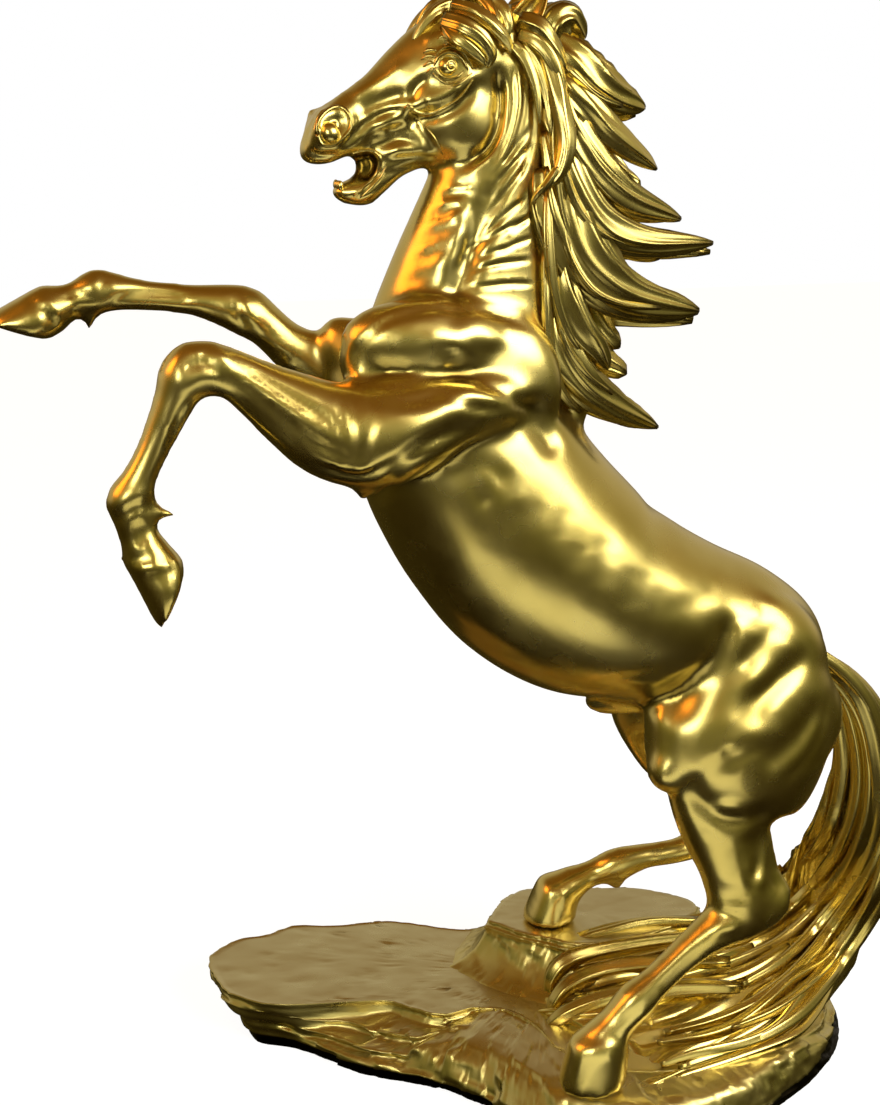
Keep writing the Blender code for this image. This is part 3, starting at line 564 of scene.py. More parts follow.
HIND_STROKES = (
    (NEAR, 6.0, 4.4, ((778, 622), (764, 640), (750, 654), (738, 668))),
    (NEAR, 6.5, 4.8, ((808, 652), (786, 676), (760, 694), (738, 708))),
    (NEAR, 7.0, -3.4, ((790, 636), (782, 656), (762, 676), (746, 690))),
    (NEAR, 6.0, -3.0, ((752, 606), (756, 622), (752, 640)),
     ((660, 772), (670, 784), (686, 776), (704, 764))),
    (NEAR, 5.0, 2.6, ((766, 604), (762, 620), (750, 634)), ((730, 616), (728, 640), (720, 664))),
    (NEAR, 5.0, -2.6, ((742, 620), (738, 640), (734, 660))),
    (NEAR, 6.0, 3.4, ((718, 742), (732, 754), (748, 752), (776, 742))),
    (NEAR, 5.0, -2.4, ((716, 758), (724, 746), (738, 742))),
    (NEAR, 7.0, 3.6, ((688, 780), (708, 772), (726, 764), (744, 762))),
    (NEAR, 4.0, 2.2, ((702, 806), (716, 800), (738, 802), (752, 812))),
    (NEAR, 5.0, -3.0, ((720, 812), (732, 806), (748, 814), (752, 836))),
    (NEAR, 3.6, 2.8, ((756, 818), (759, 838), (758, 862), (752, 884))),
    (NEAR, 3.4, -2.0, ((764, 822), (766, 846), (762, 872), (760, 892)),
     ((604, 862), (626, 858), (648, 850))),
    (NEAR, 3.4, 2.0, ((698, 814), (704, 830), (714, 838))),
    (NEAR, 4.0, 2.6, ((716, 888), (734, 892), (754, 892)), ((762, 884), (766, 900), (770, 918)),
     ((568, 1036), (584, 1040), (604, 1040), (624, 1036))),
    (NEAR, 3.4, 2.2, ((714, 898), (732, 901), (752, 904)), ((714, 910), (730, 914), (750, 916))),
    (NEAR, 4.0, -2.4, ((716, 904), (732, 908), (752, 911))),
    (NEAR, 5.0, -3.6, ((712, 934), (722, 928), (732, 928), (734, 936))),
    (NEAR, 3.2, 2.4, ((714, 940), (724, 938), (736, 934), (748, 926))),
    (NEAR, 4.0, -2.0, ((772, 888), (782, 900), (790, 910))),
    (NEAR, 3.4, 2.6, ((706, 944), (684, 964), (662, 986), (640, 1004))),
    (NEAR, 3.0, -1.8, ((700, 938), (676, 960), (652, 982), (630, 998))),
    (NEAR, 3.6, 2.4, ((648, 1006), (632, 1014), (616, 1026), (610, 1040))),
    (NEAR, 2.8, -2.0, ((566, 1042), (584, 1048), (606, 1046), (628, 1044))),
    (NEAR, 2.4, 1.8, ((588, 1050), (586, 1066), (578, 1086))),
    (NEAR, 4.0, 2.4, ((600, 860), (596, 874), (590, 886)), ((828, 700), (822, 730), (806, 760), (780, 784))),
    (NEAR, 3.0, 2.0, ((556, 884), (566, 890), (576, 904), (574, 922))),
    (NEAR, 2.6, -1.8, ((562, 880), (574, 892), (582, 908))),
    (NEAR, 2.6, 1.8, ((552, 878), (556, 896), (562, 912))),
    (NEAR, 3.4, -2.4, ((838, 700), (838, 730), (824, 760), (802, 780))),
)
FACE_STROKES = (
    (BOTH, 4.5, 3.4, ((352, 158), (362, 158), (370, 160), (371, 168), (362, 180))),
    (BOTH, 2.6, 1.8, ((350, 141), (358, 131), (368, 122), (384, 114), (404, 108))),
    (BOTH, 4.0, -1.4, ((358, 142), (366, 133), (378, 124), (392, 117))),
    (BOTH, 6.0, 2.2, ((356, 114), (374, 104), (392, 98), (408, 94))),
    (BOTH, 5.0, -1.6, ((350, 98), (370, 86), (390, 74), (408, 62)),
     ((386, 153), (402, 148), (418, 146), (428, 149))),
    (BOTH, 4.0, 2.4, ((412, 116), (426, 119), (443, 115), (458, 107), (468, 97), (476, 86))),
    (BOTH, 5.0, -2.2, ((424, 102), (438, 98), (450, 92), (460, 84))),
    (BOTH, 4.0, 2.0, ((412, 102), (414, 92), (420, 84), (428, 78)),
     ((364, 147), (382, 144), (398, 140), (412, 143), (424, 147))),
    (BOTH, 4.0, 1.8, ((408, 116), (418, 126), (426, 138), (434, 152))),
    (BOTH, 6.0, -2.4, ((376, 130), (390, 122), (404, 120), (414, 126))),
    (BOTH, 3.4, 1.6, ((388, 163), (404, 159), (420, 157), (436, 160))),
    (BOTH, 3.0, 1.6, ((386, 174), (398, 170), (412, 166), (428, 164)),
     ((352, 112), (354, 124), (350, 138), (342, 147))),
    (BOTH, 5.0, 1.6, ((440, 60), (448, 62), (458, 68))),
    (BOTH, 3.0, 1.4, ((434, 50), (446, 44), (460, 46), (470, 56), (478, 68))),
    (BOTH, 4.5, -1.6, ((424, 44), (436, 36), (450, 34), (462, 40))),
    (BOTH, 5.5, 5.5, ((325, 132), (329, 122), (337, 118), (341, 124), (334, 136))),
    (BOTH, 2.6, 1.4, ((300, 147), (310, 152), (322, 156), (336, 153))),
    (BOTH, 4.0, 1.4, ((306, 136), (312, 122), (320, 110))),
    (BOTH, 2.6, 1.6, ((356, 198), (366, 190), (376, 178), (384, 170))),
)
# The strokes of each region, and how much wider and how strong they are pressed
STROKES = (
    (NECK_STROKES, 1.0, 1.0), (TRUNK_STROKES, 1.8, 0.2), (SHOULDER_STROKES, 1.3, 0.65),
    (ARM_STROKES, 1.1, 0.8), (HIND_STROKES, 1.4, 0.38), (FACE_STROKES, 1.0, 1.0),
)
# Raised rims and veins of the head: closed or open, radius in millimetres, points
FACE_RIMS = (
    (True, 1.8, ((317, 134), (318, 122), (327, 111), (339, 107), (348, 113), (351, 126), (344, 137),
     (333, 145), (322, 144))),
    (False, 1.7, ((324, 164), (336, 161), (350, 154), (364, 150), (374, 151), (380, 157), (380, 165),
     (375, 176), (364, 187), (353, 196))),
    (False, 1.2, ((386, 166), (381, 177), (371, 188), (360, 198))),
    (False, 1.5, ((404, 108), (409, 107), (418, 112), (430, 113), (444, 108), (457, 100), (466, 90),
     (473, 79))),
    (False, 1.6, ((404, 112), (408, 106), (414, 109))),
    (False, 0.9, ((410, 111), (420, 121), (430, 132), (437, 142), (443, 155))),
    (False, 2.0, ((434, 66), (438, 58), (446, 53), (455, 54), (462, 60), (468, 70))),
    (False, 1.5, ((434, 58), (441, 50), (450, 47), (460, 50), (468, 60), (473, 70))),
    (False, 1.7, ((435, 67), (440, 75), (448, 79), (457, 77), (464, 71))),
    (False, 1.3, ((433, 73), (440, 80), (449, 84), (459, 82), (468, 75))),
    (False, 1.3, ((448, 89), (456, 86), (465, 80), (472, 73))),
    (False, 1.5, ((423, 53), (429, 50), (437, 51))),
    (False, 1.5, ((421, 60), (428, 56), (436, 57))),
    (False, 1.5, ((423, 67), (429, 63), (435, 63))),
    (False, 1.3, ((426, 73), (432, 69), (437, 70))),
    (False, 1.2, ((437, 39), (445, 36), (453, 40), (459, 45))),
    (False, 1.0, ((444, 45), (452, 43), (461, 47), (469, 54))),
)
EYE_SPOT = (449, 66)
NOSTRIL_SPOT = (330, 131)
# Sizes of the eye in millimetres: eyeball, how deep its centre is sunk, where the iris lies, its radius
EYEBALL, SUNK, IRIS_OUT, IRIS, PUPIL, IRIS_RIM = 8.4, 4.2, 7.6, 3.7, 1.7, 0.75


def thrown(tree, pixels):
    """Where the camera's rays through the pixels meet the form, with its normals."""
    spots, turns = [], []
    for u, v in pixels:
        hit, normal, _, _ = tree.ray_cast(EYE, pixel_way(u, v))
        if hit is not None:
            spots.append(hit)
            turns.append(normal)
    return np.array(spots), np.array(turns)


def mirrored(spots):
    flipped = np.array(spots)
    flipped[:, 1] = 2 * MIDLINE_Y - flipped[:, 1]
    return flipped


def placed_strokes(obj, strokes, width, strength):
    """Each stroke as its line in space, the way its surface faces, half width and depth."""
    tree = BVHTree.FromObject(obj, bpy.context.evaluated_depsgraph_get())
    lines = []
    each = [(both, wide, deep, pixels) for both, wide, deep, *paths in strokes for pixels in paths]
    for both, half_width, depth, pixels in each:
        spots, turns = thrown(tree, pixels)
        if len(spots) < 2:
            continue
        facing = turns.mean(axis=0)
        facing /= np.linalg.norm(facing)
        line = smooth_rows(spots, 5)
        size = (half_width * width * MILLIMETRE, depth * strength * MILLIMETRE)
        lines.append((line, facing, *size))
        if both:
            lines.append((mirrored(line), facing * (1, -1, 1), *size))
    return lines


def stroked(obj, lines):
    """Moves the surface in or out along each placed stroke."""
    points = points_of(obj.data)
    normals = normals_of(obj.data)
    depth = np.zeros(len(points))
    for line, facing, half_width, deep in lines:
        low, high = line.min(axis=0) - 3 * half_width, line.max(axis=0) + 3 * half_width
        near = np.flatnonzero(((points > low) & (points < high)).all(axis=1))
        if not len(near):
            continue
        away, where = distance_to_line(points[near], line)
        press = np.exp(-((away / half_width) ** 2)) * np.minimum(1, 5 * np.minimum(where, 1 - where) + 0.2)
        press -= 0.1 * np.exp(-((away / half_width - 2.0) ** 2)) * (deep > 0)
        press *= np.clip(2.0 * (normals[near] @ facing) + 0.2, 0, 1)
        depth[near] += deep * press
    place_points(obj.data, points - normals * depth[:, None])


def refined(obj, spots, reach):
    """Halves the faces of the mesh that lie within reach of any of the spots."""
    cells = set(map(tuple, np.floor(np.array(spots) / reach).astype(int)))
    steps = (-1, 0, 1)
    around = {(a + i, b + j, c + k) for a, b, c in cells for i in steps for j in steps for k in steps}
    keys = list(map(tuple, np.floor(points_of(obj.data) / reach).astype(int)))
    bm = bmesh.new()
    bm.from_mesh(obj.data)
    bm.verts.ensure_lookup_table()
    edges = [e for e in bm.edges if keys[e.verts[0].index] in around and keys[e.verts[1].index] in around]
    bmesh.ops.subdivide_edges(bm, edges=edges, cuts=1, use_grid_fill=True)
    bm.to_mesh(obj.data)
    bm.free()


# The head and neck, in the part's frame
FACE_LOW = np.array((-0.215, -0.09, 0.840))
FACE_HIGH = np.array((-0.035, 0.03, 1.020))
NECK_LOW = np.array((-0.080, -0.09, 0.780))
NECK_HIGH = np.array((0.020, 0.03, 0.985))


def drawn(spots):
    """Points of the part's frame in the millimetres of the drawing."""
    back = TO_PART.inverted()
    return [back @ Vector(spot) for spot in spots]


def both_sides(points):
    return points, [Vector((p.x, -p.y, p.z)) for p in points]


def rim(tree, closed, radius, pixels):
    """A thin raised welt on both sides of the surface."""
    spots, turns = thrown(tree, pixels + (pixels[:1] if closed else ()))
    shapes = []
    for path in both_sides(drawn(spots + 0.2 * radius * MILLIMETRE * turns)):
        rows = smooth_rows([tuple(p) for p in path], 4)
        share = np.linspace(0, 1, len(rows))
        size = radius * (1 if closed else np.clip(np.sin(math.pi * (0.04 + 0.92 * share)), 0, 1) ** 0.5)
        shapes.append(tube(np.column_stack([rows, size + 0 * share, size + 0 * share]), steps=1, sides=12))
    return shapes


def eyes(tree):
    """Both eyeballs, each with a raised iris ring and pupil."""
    spots, turns = thrown(tree, (EYE_SPOT,))
    spot, out = drawn(spots)[0], Vector(turns[0]).normalized()
    wide = out.cross(Vector((0, 0, 1))).normalized()
    high = wide.cross(out)
    centre = spot - out * SUNK
    circle = [
        centre + out * IRIS_OUT + (wide * math.cos(a) + high * math.sin(a)) * IRIS
        for a in np.linspace(0, 2 * math.pi, 13)
    ]
    shapes = []
    for middle in both_sides([centre]):
        shapes.append(ball(middle[0], (EYEBALL,) * 3))
    for pupil in both_sides([centre + out * IRIS_OUT]):
        shapes.append(ball(pupil[0], (PUPIL,) * 3))
    for ring in both_sides(circle):
        shapes.append(tube([(*p, IRIS_RIM, IRIS_RIM) for p in ring], steps=3, sides=10))
    return shapes


def nostrils(tree):
    """The rounded inner fold of both nostrils."""
    spots, turns = thrown(tree, (NOSTRIL_SPOT,))
    spot, out = drawn(spots)[0], Vector(turns[0]).normalized()
    return [ball(p[0], (8.0, 7.0, 9.0), 30) for p in both_sides([spot - out * 3.6])]


def teeth():
    """The front teeth of the lower jaw and its tongue."""
    shapes = [ball((-169 + 0.12 * abs(y), y, 808.5), (2.4, 2.3, 4.0)) for y in (-9, -4.5, 0, 4.5, 9)]
    shapes.append(ball((-152, 0, 810), (13, 8, 4), 25))
    return shapes


def joined_to(obj, shapes):
    """Adds shapes to the mesh as they are, so that their edges stay crisp."""
    whole = gathered(shapes, TO_PART)
    whole.from_mesh(obj.data)
    whole.to_mesh(obj.data)
    whole.free()


def within(points, low, high):
    return points[((points > low) & (points < high)).all(axis=1)]


def horse_figure():
    shapes = trunk() + head()
    for leg in (near_foreleg, far_foreleg, near_hind_leg, far_hind_leg):
        shapes += leg()
    obj = fused("horse_figure", shapes, TO_PART, BODY_CELL)
    relaxed(obj, 6)
    carved(obj)
    relaxed(obj, 2)
    points = points_of(obj.data)
    spots = np.vstack([within(points, FACE_LOW, FACE_HIGH), within(points, NECK_LOW, NECK_HIGH)])
    refined(obj, spots, REFINED_REACH)
    relaxed(obj, 2, 0.4)
    lines = []
    for strokes, width, strength in STROKES:
        lines += placed_strokes(obj, strokes, width, strength)
    stroked(obj, lines)
    relaxed(obj, 1, 0.3)
    tree = BVHTree.FromObject(obj, bpy.context.evaluated_depsgraph_get())
    details = eyes(tree) + nostrils(tree) + teeth()
    for closed, radius, pixels in FACE_RIMS:
        details += rim(tree, closed, radius, pixels)
    joined_to(obj, details)
    obj.data.shade_smooth()
    return obj


# Hair

def lock(points, breadth, thickness, flutes=8, side=ACROSS, depth=0.16, sides=52, root=0.24, phase=0.0,
         blunt=0.5):
    """A leaf-shaped fluted lock of hair, from its root to its rounded tip."""
    rows = smooth_rows([tuple(p) for p in points], 8)
    share = np.linspace(0, 1, len(rows))
    swell = np.clip(np.sin(math.pi * (root + (1 - root) * share**0.9)), 0, 1) ** blunt
    stations = np.column_stack([rows, swell * breadth, 0.25 * thickness + swell * thickness * 0.75])
    stations[-1, 3:] = (0.12 * breadth, 0.25 * thickness)
    return tube(stations, side, flutes, depth, steps=1, sides=sides, phase=phase, wander=1.5)


def strand(points, radius, flutes=6, depth=0.2, sides=28, phase=0.0, flat=0.8):
    """A long strand of even thickness that narrows at both ends."""
    rows = smooth_rows([tuple(p) for p in points], 4)
    share = np.linspace(0, 1, len(rows))
    swell = np.clip(np.sin(math.pi * (0.1 + 0.86 * share)), 0, 1) ** 0.4
    ripple = 1 + 0.12 * np.sin(9 * share + 2 * phase)
    stations = np.column_stack([rows, swell * radius * ripple, swell * radius * flat])
    return tube(stations, ACROSS, flutes, depth, steps=1, sides=sides, phase=phase, wander=1.2)


# Locks of the near side as pixels with their distance from the midline, half breadth and flutes
MANE_LOCKS = (
    (((548, 44, -16), (570, 60, -25), (596, 82, -25), (620, 98, -18), (644, 108, -8)), 19, 7),
    (((552, 72, -22), (572, 96, -30), (598, 122, -29), (626, 145, -22), (656, 169, -12)), 14, 6),
    (((554, 100, -26), (572, 136, -33), (598, 172, -31), (632, 200, -24), (680, 219, -9)), 18, 8),
    (((556, 128, -28), (570, 178, -35), (598, 222, -33), (644, 242, -24), (712, 243, -5)), 18, 8),
    (((556, 165, -29), (566, 218, -36), (590, 266, -36), (632, 298, -27), (698, 311, -7)), 27, 10),
    (((556, 236, -27), (562, 286, -35), (578, 326, -36), (596, 350, -33), (608, 368, -27)), 15, 7),
    (((554, 292, -26), (560, 344, -33), (582, 382, -32), (614, 406, -22), (657, 427, -5)), 18, 8),
)
# Lobes of the far row that show between the near locks
FAR_LOBES = (
    (((566, 240, 6), (580, 290, 8), (600, 326, 8), (619, 348, 8)), 13, 6),
    (((562, 270, 2), (574, 320, 4), (598, 356, 6), (626, 374, 6)), 15, 7),
    (((566, 120, 8), (590, 150, 10), (620, 176, 8), (640, 186, 6)), 11, 6),
    (((566, 180, 8), (596, 220, 10), (630, 246, 8), (664, 254, 6)), 13, 6),
)
# Long strands that lie on the roots of the big locks, with their radius
MANE_STRANDS = (
    (((546, 66, -30), (554, 110, -38), (556, 170, -41), (566, 226, -41), (588, 266, -40),
     (616, 290, -35)), 4.5),
    (((556, 96, -33), (560, 150, -41), (574, 200, -42), (600, 232, -39), (634, 248, -30)), 4.5),
    (((562, 84, -33), (574, 120, -39), (596, 156, -38), (624, 184, -31), (650, 200, -22)), 4.0),
    (((548, 190, -37), (549, 240, -41), (554, 290, -42), (566, 330, -41), (580, 352, -38)), 5.0),
    (((546, 250, -36), (547, 300, -40), (550, 350, -40), (560, 390, -38), (580, 412, -32)), 5.0),
    (((560, 200, -38), (568, 250, -43), (590, 288, -43), (622, 304, -36), (660, 308, -24)), 4.5),
    (((560, 60, -30), (576, 76, -34), (598, 96, -32), (622, 106, -24)), 4.0),
    (((556, 296, -36), (564, 340, -41), (584, 372, -39), (612, 394, -30)), 4.0),
)
# The lock draped on the neck, its flick, the poll, and the hair between the ear and the poll
DRAPED_LOCKS = (
    (((538, 42, -30), (550, 66, -38), (560, 104, -44), (567, 142, -48), (560, 172, -49),
     (544, 190, -47)), 9, 6, 4),
    (((558, 168, -49), (546, 185, -50), (538, 193, -49), (531, 205, -46)), 3.6, 4, 4),
    (((546, 50, -12), (556, 24, -16), (570, 18, -14), (584, 38, -10)), 15, 13, 6),
    (((520, 34, -28), (536, 42, -36), (550, 58, -40), (560, 84, -41), (564, 112, -41)), 8, 6, 5),
    (((520, 22, -26), (538, 28, -34), (552, 46, -36), (566, 70, -34)), 9, 8, 5),
    (((512, 44, -34), (526, 60, -38), (536, 90, -40), (540, 124, -41)), 5, 3, 4),
    (((524, 44, -34), (538, 66, -38), (548, 100, -41), (551, 136, -43)), 5, 3, 4),
)
# Forelock over the brow and temple
FORELOCKS = (
    (((452, 6, -24), (474, 12, -36), (494, 26, -41), (507, 42, -39), (510, 54, -37)), 6, 5, 5),
    (((444, 20, -26), (462, 26, -40), (480, 38, -44), (490, 54, -43), (487, 68, -41)), 8, 5, 7),
    (((446, 26, -30), (456, 38, -40), (470, 48, -43), (481, 58, -43), (486, 66, -42)), 6, 4, 5),
    (((466, 4, -8), (446, 8, -12), (430, 18, -15), (412, 42, -15)), 7, 5, 6),
    (((474, -8, 2), (452, 0, 0), (436, 8, -2), (422, 22, -5)), 7, 5, 6),
    (((490, 2, -24), (502, 10, -30), (508, 24, -34), (506, 38, -36)), 7, 6, 5),
    (((476, -8, -12), (488, 4, -24), (496, 18, -34), (502, 34, -38)), 6, 6, 5),
)


def flipped(spots, number=0, wander=0.0):
    """The same path on the far side, a little altered."""
    out = []
    for k, p in enumerate(spots):
        drop = wander * k / len(spots)
        ahead, down = drop * (0.6 + noise(number, k)), drop * (0.8 + noise(number, k, 3))
        out.append(Vector((p.x - ahead, -p.y, p.z - down)))
    return out


def mane():
    """The crest under the hair, three rows of locks swept back, and longer strands."""
    crest = [
        (-26, 0, 944, 4, 5), (-14, 0, 938, 13, 16), (2, 0, 916, 19, 22), (8, 0, 880, 23, 25),
         (12, 0, 830, 25, 26),
        (14, 0, 760, 25, 26), (22, 0, 690, 20, 22), (36, 0, 640, 8, 12),
    ]
    shapes = [tube(crest, flutes=16, flute_depth=0.07, sides=96, steps=5, wander=1.5)]
    for number, (path, breadth, flutes) in enumerate(MANE_LOCKS):
        spots = [at_side(*p) for p in path]
        shapes.append(lock(spots, breadth, 9, flutes, phase=number))
        shapes.append(lock(flipped(spots, number, 12), breadth, 9, flutes, phase=number + 0.5))
        middle = [Vector((p.x - 5, 0.1 * p.y, p.z + 3)) for p in spots]
        middle[-1] = middle[-1].lerp(middle[-2], 0.5)
        shapes.append(lock(middle, 0.9 * breadth, 15, flutes, phase=number + 0.3))
    for number, (path, breadth, flutes) in enumerate(FAR_LOBES):
        shapes.append(lock([at_side(*p) for p in path], breadth, 9, flutes, phase=number, blunt=0.35))
    for number, (path, radius) in enumerate(MANE_STRANDS):
        spots = [at_side(*p) for p in path]
        shapes.append(strand(spots, radius, phase=number))
        shapes.append(strand(flipped(spots, number, 6), radius, phase=number))
    for number, (path, breadth, thickness, flutes) in enumerate(DRAPED_LOCKS + FORELOCKS):
        spots = [at_side(*p) for p in path]
        look = {"depth": 0.13, "sides": 40, "root": 0.3, "phase": number}
        for side in (spots, flipped(spots, number, 3)):
            shapes.append(lock(side, breadth, thickness, flutes, **look))
    return shapes


EAR_WALL = 1.6


def ear(y):
    """A cupped ear with a raised rim, its hollow turned forward and out."""
    base, tip = Vector((-34, 22 * y, 922)), Vector((-4, 33 * y, 963))
    along = (tip - base).normalized()
    out = Vector((-0.55, 0.75 * y, 0.3))
    out = (out - along * out.dot(along)).normalized()
    wide = along.cross(out)
    bm = bmesh.new()
    rings = []
    for rise in np.linspace(0, 1, 22):
        middle = base.lerp(tip, rise) - out * 5 * math.sin(math.pi * rise)
        half = 12.5 * max(math.sin(math.pi * (0.22 + 0.78 * rise)), 0.02) ** 0.75
        cup = half - EAR_WALL if half > 2.2 else half * 0.4
        ring = []
        for size, deep, steps in ((half, 0.8, range(15)), (cup, 0.72, range(13, 0, -1))):
            for i in steps:
                angle = math.pi * (i / 14 - 0.5)
                spot = middle + wide * size * math.sin(angle) - out * size * deep * math.cos(angle)
                ring.append(bm.verts.new(spot))
        rings.append(ring)
    bridge(bm, rings)
    bmesh.ops.recalc_face_normals(bm, faces=bm.faces)
    return bm


# Lines along the near surface of the tail: first pixels with their distance from the midline,
# then pixels with their height above the deck
TAIL_LINES = (
    (((772, 646, 6), (824, 690, 13), (836, 745, 16), (828, 790, 26), (812, 830, 42)),
     ((780, 868, 62), (742, 896, 54), (700, 915, 47), (660, 926, 44), (616, 938, 41), (582, 947, 34),
     (560, 958, 6))),
    (((778, 642, 3), (834, 690, 6), (849, 748, 8), (844, 795, 16), (828, 840, 32)),
     ((796, 885, 50), (752, 914, 46), (708, 936, 40), (660, 947, 37), (612, 958, 33), (568, 968, 22),
     (548, 976, -4))),
    (((782, 640, 0), (842, 690, 1), (861, 752, 0), (858, 805, 6), (842, 852, 20)),
     ((806, 905, 44), (762, 938, 34), (716, 956, 34), (665, 968, 32), (614, 980, 28), (562, 988, 14),
     (542, 993, -8))),
    (((786, 638, -2), (850, 690, -3), (872, 758, -6), (872, 815, -4), (856, 865, 8)),
     ((816, 922, 40), (772, 955, 32), (726, 976, 29), (676, 992, 27), (618, 1004, 21), (552, 1010, 10),
     (532, 1013, -8))),
    (((788, 637, -3), (855, 688, -6), (881, 760, -11), (883, 820, -10), (868, 872, -4)),
     ((826, 934, 36), (786, 968, 30), (744, 992, 27), (700, 1010, 21), (655, 1024, 14), (600, 1032, 5),
     (580, 1036, -8))),
    (((790, 637, -3), (860, 688, -7), (889, 764, -13), (892, 826, -13), (878, 882, -12)),
     ((836, 944, 34), (800, 982, 27), (766, 1008, 22), (722, 1028, 16), (680, 1042, 10), (640, 1052, 3),
     (618, 1058, -8))),
    (((792, 638, -1), (865, 690, -5), (895, 768, -9), (897, 832, -11), (884, 890, -13)),
     ((844, 950, 28), (814, 992, 20), (784, 1024, 13), (742, 1044, 9), (696, 1060, 6), (650, 1076, 1),
     (628, 1084, -10))),
    (((794, 640, 2), (868, 692, 0), (900, 776, -3), (901, 838, -6), (888, 896, -9)),
     ((850, 958, 20), (822, 1004, 6), (796, 1038, 0), (750, 1060, -2), (700, 1076, -3), (655, 1090, -6),
     (634, 1096, -14))),
)
# How far behind the near surface the far one hangs, line by line
TAIL_DEPTHS = (8, 24, 36, 47, 53, 52, 43, 22)
TAIL_RINGS = 190
NEAR_STEPS = 22
FAR_STEPS = 9
LOOSE_STEPS = 14
# Loose strands on the tail: the line they follow, where they start and end along it, radius
LOOSE_STRANDS = (
    (0.6, 0.03, 0.62, 9.0), (1.7, 0.02, 0.80, 9.5), (2.6, 0.03, 0.93, 9.0), (3.5, 0.02, 0.72, 10.0),
    (4.4, 0.03, 0.90, 9.0), (5.3, 0.02, 0.84, 9.5), (6.2, 0.03, 0.93, 8.0), (0.2, 0.55, 0.92, 8.0),
    (1.2, 0.62, 0.94, 8.0), (2.1, 0.66, 0.94, 8.0), (3.1, 0.60, 0.94, 8.0), (4.9, 0.55, 0.94, 7.5),
    (5.8, 0.60, 0.95, 7.5), (6.7, 0.50, 0.94, 5.5),
)
# Strands of the deck hair that curl over its left end: pixels with their height above the deck
CURLS = (
    (((700, 922, 50), (650, 924, 51), (606, 933, 48), (580, 940, 43), (564, 950, 32), (556, 964, 12)), 9),
    (((720, 938, 46), (660, 940, 46), (600, 950, 42), (566, 962, 35), (552, 978, 20), (549, 994, 2)), 10),
    (((730, 962, 42), (670, 962, 41), (610, 970, 36), (572, 984, 28), (556, 1000, 14), (551, 1014, -4)), 10),
    (((740, 988, 36), (680, 988, 34), (620, 996, 27), (584, 1006, 18), (560, 1018, 6), (548, 1028, -8)), 10),
)


def resampled(points, count):
    """The path as evenly spaced points."""
    rows = smooth_rows([tuple(p) for p in points], 6)
    walked = np.concatenate([[0], np.cumsum(np.linalg.norm(np.diff(rows, axis=0), axis=1))])
    marks = np.linspace(0, walked[-1], count)
    return np.column_stack([np.interp(marks, walked, rows[:, k]) for k in range(3)])


def furrow(value, sharpness, power):
    """Zero on the crown of a strand and -1 in the sharp valley beside it."""
    return min(1.0, sharpness * abs(value)) ** power - 1.0


def strands_relief(turn, along):
    """Depth in millimetres of the valleys between the strands of the tail."""
    angle = 2 * math.pi * (turn + 0.03 * math.sin(11 * along) + 0.012 * math.sin(25 * along + 9 * turn))
    x, y = math.cos(angle), math.sin(angle)
    depth = 9.0 * furrow(smooth_noise(Vector((1.5 * x, 1.5 * y, 2.2 * along))), 2.8, 0.75)
    depth += 2.8 * furrow(smooth_noise(Vector((3.4 * x, 3.4 * y, 4.0 * along + 7))), 3.0, 0.7)
    depth += 0.5 * furrow(smooth_noise(Vector((9 * x, 9 * y, 6 * along + 3))), 4.0, 0.8)
    return depth * min(1.0, 12 * along)


def closed_rows(rows, steps):
    """A closed smooth curve through the rows, with its own number of steps for each span."""
    out = []
    total = len(rows)
    for k in range(total):
        a, b, c, d = (rows[(k + j) % total] for j in (-1, 0, 1, 2))
        for t in np.linspace(0, 1, steps[k], endpoint=False):
            out.append(between(a, b, c, d, t))
    return np.array(out)


def tail_lines():
    """The lines of the near surface and of the far one, ring by ring."""
    near = np.array([
        resampled([at_side(*p) for p in hanging] + [at_level(*p) for p in lying], TAIL_RINGS)
        for hanging, lying in TAIL_LINES
    ])
    share = np.linspace(0, 1, TAIL_RINGS)
    hangs = np.clip((0.60 - share) / 0.2, 0, 1)
    hangs = (3 - 2 * hangs) * hangs**2
    far = near.copy()
    far[:, :, 1] += np.array(TAIL_DEPTHS)[:, None] * (0.25 + 0.75 * hangs)
    far[:, :, 2] = near[:, :, 2] * hangs + np.minimum(-14.0, near[:, :, 2] - 3) * (1 - hangs)
    return near, far


